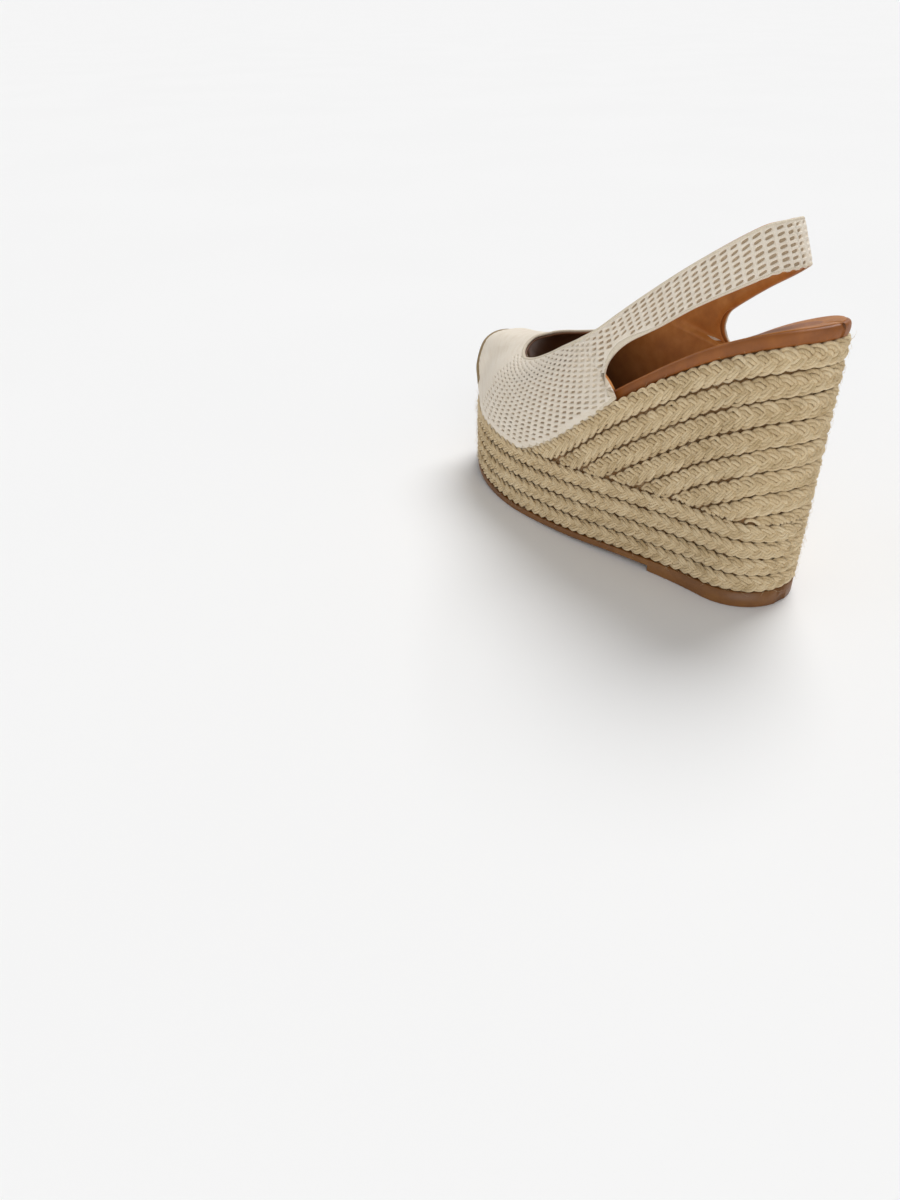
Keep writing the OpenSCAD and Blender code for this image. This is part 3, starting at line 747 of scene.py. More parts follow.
def straighten(flat, us):
    """Lets the cloth's rows follow the strap, where it is narrow, from edge to edge."""
    v = np.linspace(0, 1, CLOTH_V + 1)
    mid = CLOTH_V // 2
    out = flat.copy()
    centre = None
    for leg in (us, RIB_COUNT - us):
        w = 1 - smooth((leg - STRAIGHT_TO) / STRAIGHT_FADE)
        here = np.argmin(abs(leg - STRAIGHT_TO - STRAIGHT_FADE / 2))
        x = flat[here, mid, 0]
        centre = x if centre is None else centre + round((x - centre) / CELL_X) * CELL_X
        strap = centre - (v[None, :] - 0.5) * STRAP_WIDTH
        end = np.argmin(leg)
        y_end = flat[end, mid, 1]
        whole = (math.floor(abs(y_end) / CELL_Y) + 0.5) * CELL_Y * np.sign(y_end)
        scale = np.where(out[..., 1] * y_end > 0, whole / y_end, 1.0)
        level = out[:, mid:mid + 1, 1]
        w = w[:, None]
        out[..., 1] = (w * level + (1 - w) * out[..., 1]) * scale
        out[..., 0] = w * strap + (1 - w) * out[..., 0]
    out[..., 0] -= centre
    return out


def locate(flat, targets):
    """Grid coordinates of points of the pattern, by Newton's method from the nearest one."""
    n, m = flat.shape[:2]
    nodes = flat.reshape(-1, 2)
    start = np.concatenate([np.argmin(((t[:, None, :] - nodes[None]) ** 2).sum(-1), 1)
                            for t in np.array_split(targets, max(len(targets) // 500, 1))])
    at = np.stack([start // m, start % m], -1).astype(float)
    for _ in range(15):
        cell = np.clip(np.floor(at).astype(int), 0, [n - 2, m - 2])
        f, g = (at - cell)[:, :1], (at - cell)[:, 1:]
        i, j = cell.T
        p00, p10, p01, p11 = flat[i, j], flat[i + 1, j], flat[i, j + 1], flat[i + 1, j + 1]
        value = (1 - f) * (1 - g) * p00 + f * (1 - g) * p10 + (1 - f) * g * p01 + f * g * p11
        di = (1 - g) * (p10 - p00) + g * (p11 - p01)
        dj = (1 - f) * (p01 - p00) + f * (p11 - p10)
        e = targets - value
        det = di[:, 0] * dj[:, 1] - di[:, 1] * dj[:, 0]
        det = np.where(abs(det) < 1e-6, 1e-6, det)
        step = np.stack([(e[:, 0] * dj[:, 1] - e[:, 1] * dj[:, 0]) / det,
                         (di[:, 0] * e[:, 1] - di[:, 1] * e[:, 0]) / det], -1)
        at = at + np.clip(step, -2, 2)
        at = np.clip(at, [-4, -8], [n + 3, m + 7])
    return at, np.linalg.norm(e, axis=1)


def rib_length(u):
    """Length of a rib, in millimetres."""
    v = np.linspace(0, 1, 9)
    p = upper_point(np.asarray(u, float)[..., None], v)
    return np.linalg.norm(np.diff(p, axis=-2), axis=-1).sum(-1)


def folded(u):
    """Rib number counted from the heel back on either side."""
    u = np.asarray(u, float) % RIB_COUNT
    return np.minimum(u, RIB_COUNT - u)


# Plain margin along the upper's lower edge, by rib counted from the heel, and its hem
MARGIN_LOW = [[0, 0.75], [4, 0.75], [5.5, 3.2], [9, 3.2], [11, 0.4], [18, 0.4], [19.5, 3.6],
              [22, 3.6]]
HEM_LOW = [[0, 0.8], [4, 0.8], [5.5, 3.0], [9, 3.0], [11, 0.8], [22, 0.8]]
MARGIN_HIGH = [[0, 0.75], [5, 0.75], [10, 1.4], [22, 2.0]]
HEM_HIGH = [[0, 0.8], [5, 0.8], [10, 1.3], [22, 1.7]]
TUCK = [[0, 0], [10.3, 0], [11.5, 2.2], [18, 2.2], [19, 0], [22, 0]]   # into the braids
HEM_RAISED = [[0, 1], [10.3, 1], [11.5, 0], [18, 0], [19, 1], [22, 1]]


def by_rib(table, u):
    """The table's value at a rib, the same on either side."""
    t = np.array(table)
    return np.interp(folded(u), t[:, 0], t[:, 1])


RIB_STEP = 13.0         # length of strap from one rib to the next
GATHERS, GATHER_PITCH, GATHER_DEPTH, PULL_PITCH, PULL_DEPTH = 1.8, 3.3, 0.3, 4.3, 0.9


def gather(u):
    """Small folds across the strap where the elastic draws it in behind the heel."""
    f = folded(u)
    return (GATHER_DEPTH * np.sin(2 * np.pi * f * RIB_STEP / GATHER_PITCH)
            * (1 - smooth(f / GATHERS)))


def pull(u):
    """How far the elastic draws the strap's lower edge up."""
    f = folded(u)
    wave = 0.5 + 0.5 * np.sin(2 * np.pi * f * RIB_STEP / PULL_PITCH + 0.7)
    return PULL_DEPTH * wave * wave * (1 - smooth(f / GATHERS))


cloth_us = cloth_ribs()
FLAT, CLOTH_AREA, CLOTH_SIZE = flatten(cloth_us)

# One cell of the cloth: its boundary points, and a hole inside it
EDGE = np.array([[-2, -2], [0, -2], [2, -2], [2, -1], [2, 0], [2, 1],
                 [2, 2], [0, 2], [-2, 2], [-2, 1], [-2, 0], [-2, -1]]) / 4
HOLE_HALF = np.array([0.28, 0.375])     # half the hole's size, in cells
HOLE_POWER, HOLE_SLANT = 3.2, 0.36
CREST, CROSSING, HOLE_RIM, HOLE_FLOOR = 0.32, 0.46, 0.16, 0.62
HOLE_SIZE = [[0, 0.9], [5, 0.9], [9, 0.86], [12, 0.76], [15, 0.56], [17, 0.36], [22, 0.28]]
LEAST_HOLE = 0.4        # where the holes would be smaller than this, the cloth is closed
LEAST_TRIANGLE = 0.004  # area of the smallest triangle that stays
CELL_JITTER = [0.03, 0.025]     # random shift of a cell's corners, in cells
SEAM_REACH, MOST_MISS = 0.1, 0.3
HEM_COVER, HEM_FADE = 0.92, 0.7         # where the cloth dives under a hem
KEY = 100000            # joins the two numbers of a cell's boundary point in one
END_REACH = 0.02        # grid distance from the cloth's ends where its height stays even
# How far the cloth lies below the surface where a hem covers it
UNDER_HEM = [[0, 0.15], [7.5, 0.15], [8.8, 0.5], [11, 0.5], [12, 0.15], [22, 0.15]]


def lattice():
    """The cells of the cloth, slightly uneven: their numbers and grid coordinates of their
    four corners. Along the seam at the heel back they stay even."""
    lo, hi = FLAT.reshape(-1, 2).min(0), FLAT.reshape(-1, 2).max(0)
    first = np.floor(lo / CELL - 0.5).astype(int) - 1
    last = np.ceil(hi / CELL + 0.5).astype(int) + 1
    ci, cj = np.meshgrid(np.arange(first[0], last[0] + 2), np.arange(first[1], last[1] + 2),
                         indexing="ij")
    corner = np.stack([ci - 0.5, cj - 0.5], -1)
    jitter = rng.uniform(-1, 1, corner.shape) * CELL_JITTER
    for seam in (FLAT[0, 0, 1], FLAT[-1, 0, 1]):
        jitter[abs(corner[..., 1] * CELL_Y - seam) < SEAM_REACH] = 0
    at, miss = locate(FLAT, ((corner + jitter) * CELL).reshape(-1, 2))
    at, miss = at.reshape(corner.shape), miss.reshape(corner.shape[:2])
    good = miss < MOST_MISS
    inside = (good & (at[..., 0] >= -0.01) & (at[..., 0] <= CLOTH_U + 0.01)
              & (at[..., 1] >= 0) & (at[..., 1] <= CLOTH_V))
    here, there = slice(None, -1), slice(1, None)
    quad = [(here, here), (there, here), (there, there), (here, there)]
    use = np.any([inside[c] for c in quad], 0) & np.all([good[c] for c in quad], 0)
    return np.argwhere(use), [at[c][use] for c in quad]


def rib_share(grid):
    """Rib number and share of the rib at grid coordinates."""
    u = np.interp(np.clip(grid[..., 0], 0, CLOTH_U), np.arange(CLOTH_U + 1), cloth_us)
    return u, grid[..., 1] / CLOTH_V


def raise_at(grid, height):
    """Points of the cloth at a height outside its surface, sunk under the hems."""
    u, v = rib_share(grid)
    span = rib_length(u)
    low_hem = by_rib(HEM_LOW, u) * by_rib(HEM_RAISED, u) + pull(u)
    free = np.minimum(v * span - HEM_COVER * low_hem,
                      (1 - v) * span - HEM_COVER * by_rib(HEM_HIGH, u))
    fade = smooth(free / HEM_FADE)
    v = np.clip(v, (pull(u) - by_rib(TUCK, u)) / span, 1)
    height = height * fade - by_rib(UNDER_HEM, u) * (1 - fade)
    return upper_point(u, v) - upper_normal(u, v) * (height - gather(u))[..., None]


def make_cloth():
    """The open-weave cloth: cords round rows of slanting holes."""
    cells, corners = lattice()
    count, around = len(cells), len(EDGE)
    turn = np.roll(np.arange(around), -1)

    def inner(own):
        """Grid coordinates at a cell's own coordinates, from its four corners."""
        s, t = own[..., :1] + 0.5, own[..., 1:] + 0.5
        c00, c10, c11, c01 = (c[:, None] for c in corners)
        return (1 - s) * (1 - t) * c00 + s * (1 - t) * c10 + s * t * c11 + (1 - s) * t * c01

    def laid(which, own):
        """The cloth's UV map: place on the flat cloth, in millimetres."""
        return ((cells[which, None] + own[which]) * CELL).reshape(-1, 2)

    middle = inner(np.zeros((count, 1, 2)))
    open_here = by_rib(HOLE_SIZE, rib_share(middle)[0])
    grow = (1 + 0.12 * rng.uniform(-1, 1, (count, 1))) * open_here
    grow_along = (1 + 0.08 * rng.uniform(-1, 1, (count, 1))) * open_here ** 0.5
    slant = HOLE_SLANT * (1 + 0.25 * rng.uniform(-1, 1, (count, 1)))
    relief = 0.25 + 0.75 * open_here[:, 0]
    rounding = (abs(EDGE * 2) ** HOLE_POWER).sum(-1) ** (-1 / HOLE_POWER)
    hole_p, hole_q = (EDGE * 2 * HOLE_HALF * rounding[:, None]).T
    hole_p, hole_q = hole_p * grow, hole_q * grow_along

    def slanted(p, q):
        return np.stack([p - slant * q, q], -1)

    edge = np.tile(EDGE, (count, 1, 1))
    rim = slanted(hole_p, hole_q)
    grid = inner(rim)
    u, v = rib_share(grid)
    length = rib_length(u[:, 0])[:, None]
    holed = ((v > by_rib(MARGIN_LOW, u) / length).all(1)
             & (v < 1 - by_rib(MARGIN_HIGH, u) / length).all(1) & (open_here[:, 0] > LEAST_HOLE)
             & (grid[..., 0] > 0).all(1) & (grid[..., 0] < CLOTH_U).all(1))

    # Cells share their boundary points: the crests of the cords, and their crossings
    number = cells[:, None] * [2, 4] + np.round((EDGE + 0.5) * [2, 4]).astype(int)
    _, where, back = np.unique(number[..., 0] * KEY + number[..., 1], return_index=True,
                               return_inverse=True)
    back = back.reshape(count, around)
    halves, quarters = (number.reshape(-1, 2)[where] % [2, 4]).T
    height = np.where(quarters == 0, np.where(halves == 1, CROSSING, CREST * 0.4), CREST)
    shared = inner(edge).reshape(-1, 2)[where]
    at_end = abs(shared[:, 0] - CLOTH_U / 2) > CLOTH_U / 2 - END_REACH
    height = height * (1 + 0.25 * rng.uniform(-1, 1, len(where)) * ~at_end)
    verts = [raise_at(shared, height * np.repeat(relief, around)[where])]
    uv = [laid(slice(None), edge)[where]]

    # Rings from the boundary to the hole's rim, and down inside it
    holes = np.flatnonzero(holed)
    total, previous, faces = len(where), back[holes].T, []
    slope, floor = (rim + edge) * 0.5, slanted(hole_p * 0.97, hole_q * 0.98)
    crest = np.repeat(relief[holes], around) * CREST * 1.15
    for own, height, map_at in ((slope, crest, slope), (rim, -HOLE_RIM, rim),
                                (floor, -HOLE_FLOOR, rim)):
        at = inner(own)[holes].reshape(-1, 2)
        verts.append(raise_at(at, height + 0 * at[:, 0]))
        uv.append(laid(holes, map_at))
        current = (total + np.arange(len(at))).reshape(-1, around).T
        total += len(at)
        faces.append(np.stack([previous, previous[turn], current[turn], current], -1))
        previous = current

    # Cells without a hole: a low hub in the middle
    plain = np.flatnonzero(~holed)
    verts.append(raise_at(middle[plain, 0], CREST * 0.5 * relief[plain]))
    uv.append(cells[plain] * CELL)
    ring = back[plain].T
    hub = np.broadcast_to(total + np.arange(len(plain)), ring.shape)
    triangles = np.stack([ring, ring[turn], hub], -1).reshape(-1, 3)
    verts = np.concatenate(verts)
    a, b, c = (verts[corner] for corner in triangles.T)
    area = np.linalg.norm(np.cross(b - a, c - a), axis=1) / 2
    obj = make_piece("upper_cloth", verts, [np.concatenate(faces).reshape(-1, 4),
                                            triangles[area > LEAST_TRIANGLE]],
                     uv=np.concatenate(uv), body=None)
    fix_normals(obj)
    return obj


# ---------------------------------------------------------------- backing, lining, tape, elastic

EDGE_LOW, EDGE_HIGH, SHARE = 0, 1, 2    # what a section's amounts are measured from


def upper_at(us, kind, amount, depth):
    """Points of the upper at a distance from an edge, or at a share of the ribs."""
    length = rib_length(us)
    if kind == SHARE:
        amount = amount * length
    v = 1 - amount / length if kind == EDGE_HIGH else amount / length
    inside = np.clip(v, 0, 1)
    p = upper_point(us, inside)
    low = unit(upper_point(us, 0.0) - upper_point(us, 0.04))
    high = unit(upper_point(us, 1.0) - upper_point(us, 0.96))
    beyond = (v - inside) * length
    p = p + np.where(beyond[:, None] < 0, -beyond[:, None] * low, beyond[:, None] * high)
    return p + upper_normal(us, inside) * np.asarray(depth)[..., None]


def band(name, us, section, closed, body, values=None, along_values=None, folds=0.0):
    """A strip round the upper: section is a list of (kind, amount, depth), each amount and
    depth a number or one value per rib; values are per section point, along_values per rib."""
    verts = np.stack([upper_at(us, kind, amount + 0 * us, depth + 0 * us + folds)
                      for kind, amount, depth in section], 1)
    n, m = verts.shape[:2]
    uv = np.stack(np.broadcast_arrays(walked(verts[:, 0])[:, None],
                                      walked(verts[n // 2])[None, :]), -1).reshape(-1, 2)
    spread = {k: np.tile(np.asarray(v, float), n) for k, v in (values or {}).items()}
    for key, v in (along_values or {}).items():
        every = np.repeat(np.asarray(v, float), m)
        spread[key] = np.maximum(spread.get(key, 0), every)
    obj = make_piece(name, verts.reshape(-1, 3), loft_faces(n, m, closed), uv=uv,
                     values=spread, body=body)
    fix_normals(obj)
    return obj


def across_joint(obj):
    """Bakes the piece's placement into its points; the piece stays on no body."""
    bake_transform(obj)


LOOP_RIBS = 480
loop_us = np.interp(np.arange(LOOP_RIBS) / LOOP_RIBS * CLOTH_U, np.arange(CLOTH_U + 1), cloth_us)
hem_low, hem_high = by_rib(HEM_LOW, loop_us), by_rib(HEM_HIGH, loop_us)
tuck, raised = by_rib(TUCK, loop_us) - pull(loop_us), by_rib(HEM_RAISED, loop_us)
pulled = pull(loop_us)
# The backing is thinner and the lining deeper where the upper bends at the side opening
THINNER = [[8.5, 0], [9.5, 1], [12.5, 1], [13.5, 0]]
inner_depth = 1.3 - 0.5 * by_rib(THINNER, loop_us)
BACKING_SECTION = (
    [(EDGE_LOW, -0.3 - tuck, 0.7), (EDGE_LOW, -0.22 - tuck, 0.45 - 0.25 * raised),
     (EDGE_LOW, 0.15 - tuck, 0.45 - 0.59 * raised),
     (EDGE_LOW, hem_low * 0.5 + pulled, 0.45 - 0.65 * raised),
     (EDGE_LOW, hem_low * 0.85 + pulled, 0.45 - 0.61 * raised),
     (EDGE_LOW, hem_low * 1.05 + pulled, 0.5 - 0.2 * raised),
     (EDGE_LOW, hem_low * 1.12 + 0.1 + pulled, 0.6)]
    + [(SHARE, v, 0.62) for v in (0.3, 0.42, 0.54, 0.66)]
    + [(EDGE_HIGH, hem_high * 1.12 + 0.1, 0.6), (EDGE_HIGH, hem_high * 1.05, 0.3),
       (EDGE_HIGH, hem_high * 0.85, -0.16), (EDGE_HIGH, hem_high * 0.5, -0.2),
       (EDGE_HIGH, 0.15, -0.14), (EDGE_HIGH, -0.22, 0.2), (EDGE_HIGH, -0.3, 0.7),
       (EDGE_HIGH, 0.2, 1.3)]
    + [(SHARE, v, inner_depth) for v in (0.75, 0.5, 0.25, 0.17, 0.1, 0.05)]
    + [(EDGE_LOW, 0.2, inner_depth)])
# How far each point of the section has the hem's colour, and the lining's
HEM_SHARE = [1, 1, 1, 1, 1, 0.6, 0] + [0] * 4 + [0, 0.6, 1, 1, 1, 1, 1, 0] + [0] * 7
INSIDE_SHARE = [0] * 19 + [1] * 7

cloth = make_cloth()
# Round the outer corner of the side opening all of the backing has the hem's colour
CORNER_CLOTH = [[0, 0], [7.8, 0], [8.6, 1], [11.2, 1], [12, 0], [22, 0]]
backing = band("upper_cloth_backing", loop_us, BACKING_SECTION, True, None,
               {"hem": HEM_SHARE, "inside": INSIDE_SHARE},
               {"hem": by_rib(CORNER_CLOTH, loop_us), "inner_side": loop_us > RIB_COUNT / 2},
               folds=gather(loop_us))
# The lining lies deeper over the elastic and at the corner, and its lower edge is set back
OVER_ELASTIC = 1.25 * np.clip(2.2 - folded(loop_us), 0, 1) ** 2
lining_depth = 1.65 + OVER_ELASTIC
lining_depth = lining_depth + 0.4 * by_rib(THINNER, loop_us)
LINING_THICKNESS = 0.78
LINING_LOW = [[0, 0.15], [4, 0.2], [5.5, 1.8], [7.5, 3.0], [9, 4.6], [10.6, 5.0], [12.5, 2.0],
              [14, 0.3], [22, 0.3]]
lining_low = by_rib(LINING_LOW, loop_us)
LINING_SECTION = (
    [(EDGE_LOW, lining_low - 0.2, lining_depth + 0.4),
     (EDGE_LOW, lining_low, lining_depth + 0.05)]
    + [(SHARE, v, lining_depth) for v in (0.25, 0.5, 0.75)]
    + [(EDGE_HIGH, 0.1, lining_depth - 0.1), (EDGE_HIGH, -0.45, lining_depth - 0.15),
       (EDGE_HIGH, -0.62, lining_depth + 0.3), (EDGE_HIGH, -0.4, lining_depth + 0.75),
       (EDGE_HIGH, 0.2, lining_depth + 0.85), (EDGE_HIGH, 1.6, lining_depth + 0.9),
       (EDGE_HIGH, 2.0, lining_depth + LINING_THICKNESS)]
    + [(SHARE, v, lining_depth + LINING_THICKNESS) for v in (0.75, 0.5, 0.25)]
    + [(EDGE_LOW, lining_low + 0.15, lining_depth + LINING_THICKNESS)])
LINING_SHADE_FROM = [[0, 0], [11, 0], [15, 0.85], [22, 0.85]]     # painted shade: the lining is darkened in the toe, for the shadow inside the throat
lining = band("upper_lining", loop_us, LINING_SECTION, True, None,
              along_values={"shade": by_rib(LINING_SHADE_FROM, loop_us)})
for obj in (cloth, backing, lining):
    across_joint(obj)
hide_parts("vamp_canvas", "sling_canvas")
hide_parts("vamp_lining", "sling_lining")

TAPE_SECTION = [(EDGE_LOW, 3.3, 0.15), (EDGE_LOW, 3.1, -0.42), (EDGE_LOW, 2.2, -0.56),
                (EDGE_LOW, 1.0, -0.56), (EDGE_LOW, 0.1, -0.4), (EDGE_LOW, -0.5, 0.2),
                (EDGE_LOW, -0.7, 1.0), (EDGE_LOW, -0.6, 1.9), (EDGE_LOW, -0.2, 2.6),
                (EDGE_LOW, 0.6, 2.95), (EDGE_LOW, 2.4, 2.95), (EDGE_LOW, 2.9, 2.6),
                (EDGE_LOW, 2.2, 1.4)]
tape_us = np.linspace(RIM_FIRST - 0.25, RIM_LAST + 0.25, 90)
tape = band("peep_binding_tape", tape_us, TAPE_SECTION, False, SHOE)
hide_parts("peep_binding")

ELASTIC_CORDS, ELASTIC_REACH, ELASTIC_MARGIN = 9, 1.18, 0.16
ELASTIC_FACE, ELASTIC_CORD, ELASTIC_BACK = 1.7, 0.22, 2.6
elastic_us = np.linspace(-ELASTIC_REACH, ELASTIC_REACH, 60)
shares = np.linspace(ELASTIC_MARGIN, 1 - ELASTIC_MARGIN, ELASTIC_CORDS * 2 + 1)
ELASTIC_SECTION = ([(SHARE, v, ELASTIC_FACE + (ELASTIC_CORD if i % 2 == 0 else 0))
                    for i, v in enumerate(shares)]
                   + [(SHARE, v, ELASTIC_BACK) for v in shares[::-4]])
elastic = band("heel_elastic_strip", elastic_us, ELASTIC_SECTION, False, SLING)
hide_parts("heel_elastic")

# ---------------------------------------------------------------- materials


def srgb(code):
    c = np.array([int(code[i:i + 2], 16) for i in (1, 3, 5)]) / 255
    return (*np.where(c <= 0.04045, c / 12.92, ((c + 0.055) / 1.055) ** 2.4), 1.0)


class Look:
    """A material's node tree, with short helpers for the nodes used here."""

    def __init__(self, name, roughness, sheen=0.0, coat=0.0):
        self.material = bpy.data.materials.new(name)
        self.material.use_nodes = True
        self.nodes = self.material.node_tree.nodes
        self.links = self.material.node_tree.links
        self.nodes.clear()
        out = self.nodes.new("ShaderNodeOutputMaterial")
        self.shader = self.nodes.new("ShaderNodeBsdfPrincipled")
        self.shader.inputs["Roughness"].default_value = roughness
        self.shader.inputs["Sheen Weight"].default_value = sheen
        self.shader.inputs["Coat Weight"].default_value = coat
        self.links.new(self.shader.outputs[0], out.inputs[0])

    def node(self, kind, settings=None, **inputs):
        node = self.nodes.new("ShaderNode" + kind)
        for key, value in (settings or {}).items():
            setattr(node, key, value)
        for key, value in inputs.items():
            self.feed(node.inputs[int(key[1:]) if key[0] == "_" else key.replace("_", " ")],
                      value)
        return node

    def feed(self, socket, value):
        if isinstance(value, bpy.types.NodeSocket):
            self.links.new(value, socket)
        else:
            socket.default_value = value

    def math(self, operation, a, b=0.0):
        return self.node("Math", {"operation": operation}, _0=a, _1=b).outputs[0]

    def total(self, *terms):
        """The sum of (value, weight) pairs."""
        parts = [self.math("MULTIPLY", value, weight) for value, weight in terms]
        result = parts.pop()
        while parts:
            result = self.math("ADD", parts.pop(), result)
        return result

    def waves(self, direction, vector, scale, **settings):
        return self.node("TexWave", {"wave_type": "BANDS", "bands_direction": direction},
                         Vector=vector, Scale=scale, **settings).outputs["Fac"]

    def noise(self, vector, scale, detail=2.0, rough=0.5):
        return self.node("TexNoise", Vector=vector, Scale=scale, Detail=detail,
                         Roughness=rough).outputs["Fac"]

    def ramp(self, fac, stops):
        node = self.node("ValToRGB", Fac=fac)
        elements = node.color_ramp.elements
        while len(elements) < len(stops):
            elements.new(0.5)
        for e, (at, colour) in zip(elements, stops):
            e.position = at
            e.color = srgb(colour)
        return node.outputs["Color"]

    def mix(self, fac, a, b, blend="MIX"):
        node = self.node("Mix", {"data_type": "RGBA", "blend_type": blend})
        self.feed(node.inputs[0], fac)
        self.feed(node.inputs[6], a)
        self.feed(node.inputs[7], b)
        return node.outputs[2]

    def uv(self, x=1.0, y=1.0, third=None):
        """The piece's UV map, millimetres, stretched; third is added along the third axis."""
        uv = self.node("UVMap").outputs[0]
        parts = self.node("SeparateXYZ", _0=uv).outputs
        return self.node("CombineXYZ", _0=self.math("MULTIPLY", parts[0], x),
                         _1=self.math("MULTIPLY", parts[1], y),
                         _2=0.0 if third is None else third).outputs[0]

    def place(self, scale=1000.0):
        """Position on the piece at rest, in millimetres."""
        at = self.node("TexCoord").outputs["Object"]
        return self.node("VectorMath", {"operation": "SCALE"}, _0=at, Scale=scale).outputs[0]

    def attribute(self, name):
        return self.node("Attribute", {"attribute_name": name}).outputs["Fac"]

    def bump(self, height, distance, strength):
        return self.node("Bump", Height=height, Distance=distance, Strength=strength).outputs[0]

    def finish(self, colour, normal=None, roughness=None):
        self.feed(self.shader.inputs["Base Color"], colour)
        if normal is not None:
            self.feed(self.shader.inputs["Normal"], normal)
        if roughness is not None:
            self.feed(self.shader.inputs["Roughness"], roughness)
        return self.material


def put(material, *objects):
    for obj in objects:
        obj.data.materials.clear()
        obj.data.materials.append(material)


def jute_look(name, light, mid, dark):
    look = Look(name, 0.88, sheen=0.12)
    tone = look.attribute("tone")
    shift = look.math("MULTIPLY", tone, 60.0)
    streak = look.noise(look.uv(0.28, 5.0, shift), 1.6, 3.0, 0.6)
    hair = look.noise(look.uv(0.5, 16.0, shift), 1.2, 2.0, 0.6)
    patch = look.noise(look.place(), 0.09, 2.0)
    level = look.total((streak, 0.5), (hair, 0.3), (tone, 0.16),
                       (look.math("SUBTRACT", patch, 0.5), 0.35))
    colour = look.ramp(level, [(0.28, dark), (0.48, mid), (0.72, light)])
    height = look.total((streak, 0.6), (hair, 0.4))
    return look.finish(colour, look.bump(height, 0.0004, 0.75))


def cloth_look():
    look = Look("cloth", 0.82, sheen=0.1)
    threads_x = look.waves("X", look.uv(), 0.5, Distortion=0.8, Detail=1.0, Detail_Scale=1.5)
    threads_y = look.waves("Y", look.uv(), 0.42, Distortion=1.0, Detail=1.0, Detail_Scale=1.5)
    fuzz = look.noise(look.uv(), 2.2, 3.0, 0.6)
    slub = look.noise(look.uv(0.5, 0.09), 1.0, 2.0)
    weave = look.math("MULTIPLY", threads_x, threads_y)
    level = look.total((weave, 0.3), (fuzz, 0.4), (slub, 0.4))
    colour = look.ramp(level, [(0.2, "#E2D3BC"), (0.45, "#F4E8D6"), (0.75, "#FBF4E8")])
    height = look.total((weave, 0.7), (fuzz, 0.5))
    return look.finish(colour, look.bump(height, 0.00022, 0.8))


def backing_look():
    look = Look("cloth_backing", 0.9)
    fuzz = look.noise(look.place(), 2.0, 3.0, 0.6)
    hem = look.ramp(fuzz, [(0.25, "#D6C8AF"), (0.6, "#EADECA")])
    under = look.ramp(fuzz, [(0.25, "#A08C72"), (0.7, "#C2AE94")])
    thread = look.waves("X", look.uv(), 0.5, Distortion=1.0, Detail=1.0)
    height = look.total((thread, 0.5), (fuzz, 0.5))
    inside = look.ramp(fuzz, [(0.25, "#AE6B2A"), (0.7, "#C27C35")])
    outside = look.mix(look.attribute("hem"), under, hem)
    leather = look.math("MULTIPLY", look.attribute("inside"), look.attribute("inner_side"))
    return look.finish(look.mix(leather, outside, inside),
                       look.bump(height, 0.0002, 0.7))


# Colour of the painted shade that the leathers are mixed towards where their shade attribute is
# set.
PAINTED_SHADE_BROWN = "#4A2A19"


def leather_look(name, light, mid, dark, roughness):
    look = Look(name, roughness)
    cells = look.node("TexVoronoi", {"feature": "DISTANCE_TO_EDGE"}, Vector=look.place(),
                      Scale=1.7).outputs["Distance"]
    pores = look.noise(look.place(), 2.6, 3.0, 0.6)
    tint = look.noise(look.place(), 0.12, 3.0, 0.55)
    height = look.total((cells, 0.8), (pores, 0.5))
    level = look.total((tint, 0.8), (pores, 0.25))
    colour = look.ramp(level, [(0.3, dark), (0.5, mid), (0.72, light)])
    # Painted shade: the leather turns towards a dark brown by the shade attribute, for the shadow
    # inside the vamp and the toe.
    colour = look.mix(look.attribute("shade"), colour, srgb(PAINTED_SHADE_BROWN))
    rough = look.math("ADD", look.math("MULTIPLY", pores, 0.2), roughness - 0.1)
    return look.finish(colour, look.bump(height, 0.00018, 0.55), rough)


def rubber_look():
    look = Look("rubber", 0.42, coat=0.1)
    fine = look.noise(look.place(), 1.4, 4.0, 0.6)
    tint = look.noise(look.place(), 0.05, 3.0, 0.6)
    colour = look.ramp(look.total((tint, 0.75), (fine, 0.25)),
                       [(0.3, "#6A4119"), (0.5, "#7C4F20"), (0.7, "#8E602C")])
    rough = look.math("ADD", look.math("MULTIPLY", fine, 0.25), 0.3)
    return look.finish(colour, look.bump(fine, 0.0002, 0.5), rough)


def tape_look():
    look = Look("tape", 0.85, sheen=0.1)
    wave = look.waves("DIAGONAL", look.uv(), 0.5, Distortion=0.5)
    fuzz = look.noise(look.place(), 2.0, 3.0)
    level = look.total((wave, 0.5), (fuzz, 0.5))
    return look.finish(look.ramp(level, [(0.2, "#7F6A49"), (0.8, "#AB9269")]),
                       look.bump(wave, 0.0002, 0.7))


def plain_look(name, dark, light, scale, bump):
    look = Look(name, 0.85)
    fine = look.noise(look.place(), scale, 4.0, 0.6)
    return look.finish(look.ramp(fine, [(0.3, dark), (0.7, light)]),
                       look.bump(fine, bump, 0.6))


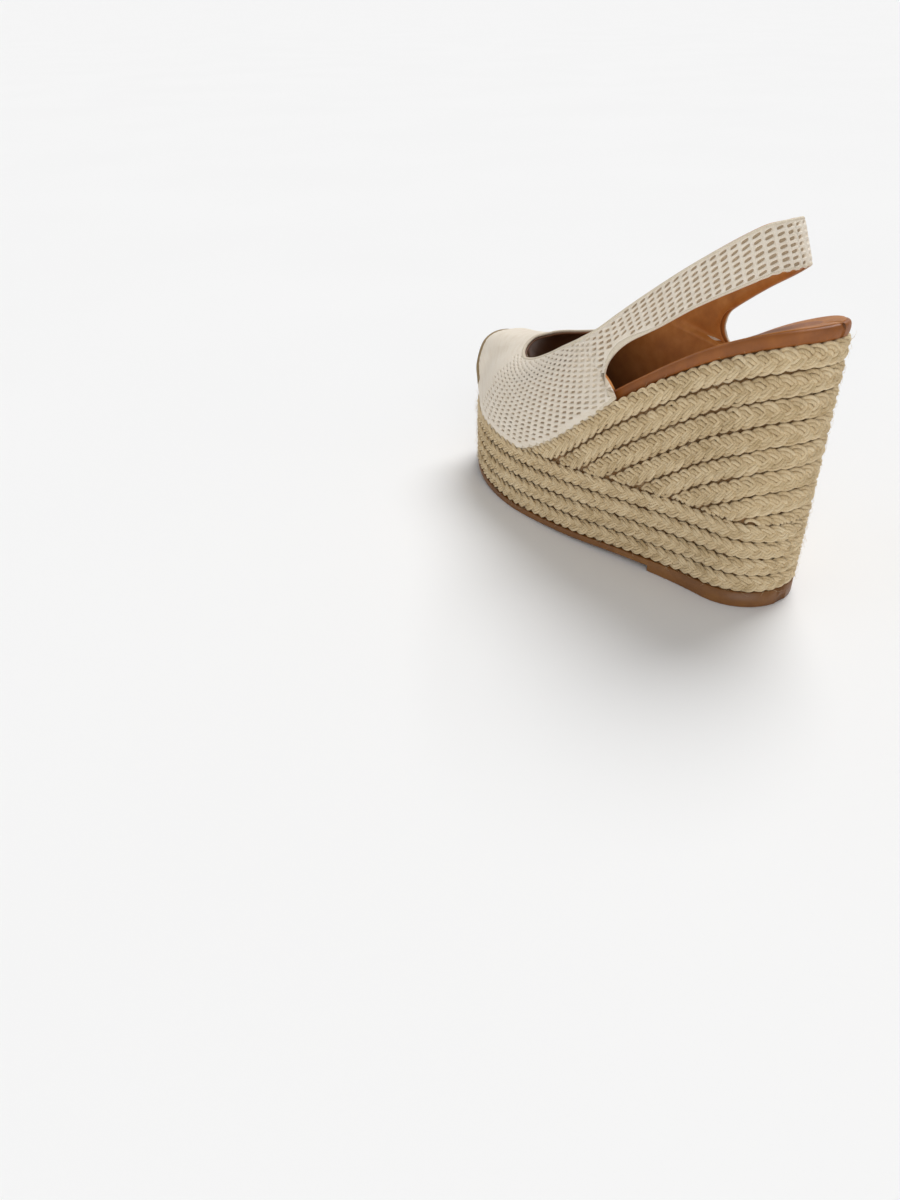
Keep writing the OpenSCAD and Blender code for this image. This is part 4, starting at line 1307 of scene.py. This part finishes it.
put(jute_look("jute", "#E9D7B4", "#D6BF97", "#B39A70"), *braids)
put(jute_look("jute_fibre", "#F6E6C6", "#DEC8A0", "#BDA272"), fibres)
put(cloth_look(), cloth)
put(backing_look(), backing)
put(leather_look("lining_leather", "#D18D45", "#C27C35", "#AE6B2A", 0.55), lining)
put(leather_look("edge_leather", "#9E5C1E", "#90521A", "#814814", 0.5), edge_wrap)
put(leather_look("sock_leather", "#BA7836", "#AD6C2E", "#9D6026", 0.5), sock)
put(rubber_look(), outsole)
put(tape_look(), tape)
put(plain_look("elastic", "#CFC5B0", "#E6DECE", 1.5, 0.0002), elastic)
board = plain_look("board", "#A08A63", "#BDA67E", 0.8, 0.0003)
core = plain_look("core", "#B48A5C", "#D2A878", 0.35, 0.0008)
for obj in list(bpy.data.objects):
    if obj.get("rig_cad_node") in ("insole_board", "wedge_core"):
        for slot in obj.material_slots:
            slot.material = board if obj["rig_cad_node"] == "insole_board" else core

# ---------------------------------------------------------------- floor and light

# The floor is flat and rises a little at its far edge, to cover the horizon; metres
FLOOR_HALF, SWEEP_HALF, SWEEP_RISE = 40.0, 60.0, 0.6


def make_floor():
    mesh = bpy.data.meshes.new("floor")
    square = [(-1, -1), (1, -1), (1, 1), (-1, 1)]
    verts = [(x * FLOOR_HALF, y * FLOOR_HALF, 0) for x, y in square]
    verts += [(x * SWEEP_HALF, y * SWEEP_HALF, SWEEP_RISE) for x, y in square]
    sweep = [(k, 4 + k, 4 + (k + 1) % 4, (k + 1) % 4) for k in range(4)]
    mesh.from_pydata(verts, [], [(0, 1, 2, 3)] + sweep)
    obj = add_object("floor", mesh)
    look = Look("floor", 1.0)
    look.shader.inputs["Specular IOR Level"].default_value = 0.0
    fine = look.noise(look.place(1.0), 3.0, 2.0)
    put(look.finish(look.ramp(fine, [(0.0, "#F4F4F4"), (1.0, "#F7F7F7")])), obj)


def soft_sun(name, towards, width, strength):
    """A broad distant lamp: towards is the way to it, width its angle in degrees."""
    data = bpy.data.lights.new(name, "SUN")
    data.angle = math.radians(width)
    data.energy = strength
    obj = add_object(name, data)
    ahead = -unit(np.array(towards, float))
    side = unit(np.cross(ahead, [0, 0, 1.0]))
    m = np.eye(4)
    m[:3, 0], m[:3, 1], m[:3, 2] = side, np.cross(side, ahead), -ahead
    obj.matrix_world = Matrix(m.tolist())


make_floor()
soft_sun("key", (0.26, -0.66, 1.0), 34.0, 2.16)
soft_sun("rear_fill", (-1.0, 0.75, 0.4), 55.0, 0.92)
soft_sun("toe_fill", (0.6, 1.0, 0.32), 60.0, 0.2)
world = bpy.data.worlds.new("studio")
world.use_nodes = True
world.node_tree.nodes["Background"].inputs["Color"].default_value = (1, 1, 1, 1)
world.node_tree.nodes["Background"].inputs["Strength"].default_value = 0.33
bpy.context.scene.world = world
bpy.context.scene.view_settings.view_transform = "Standard"
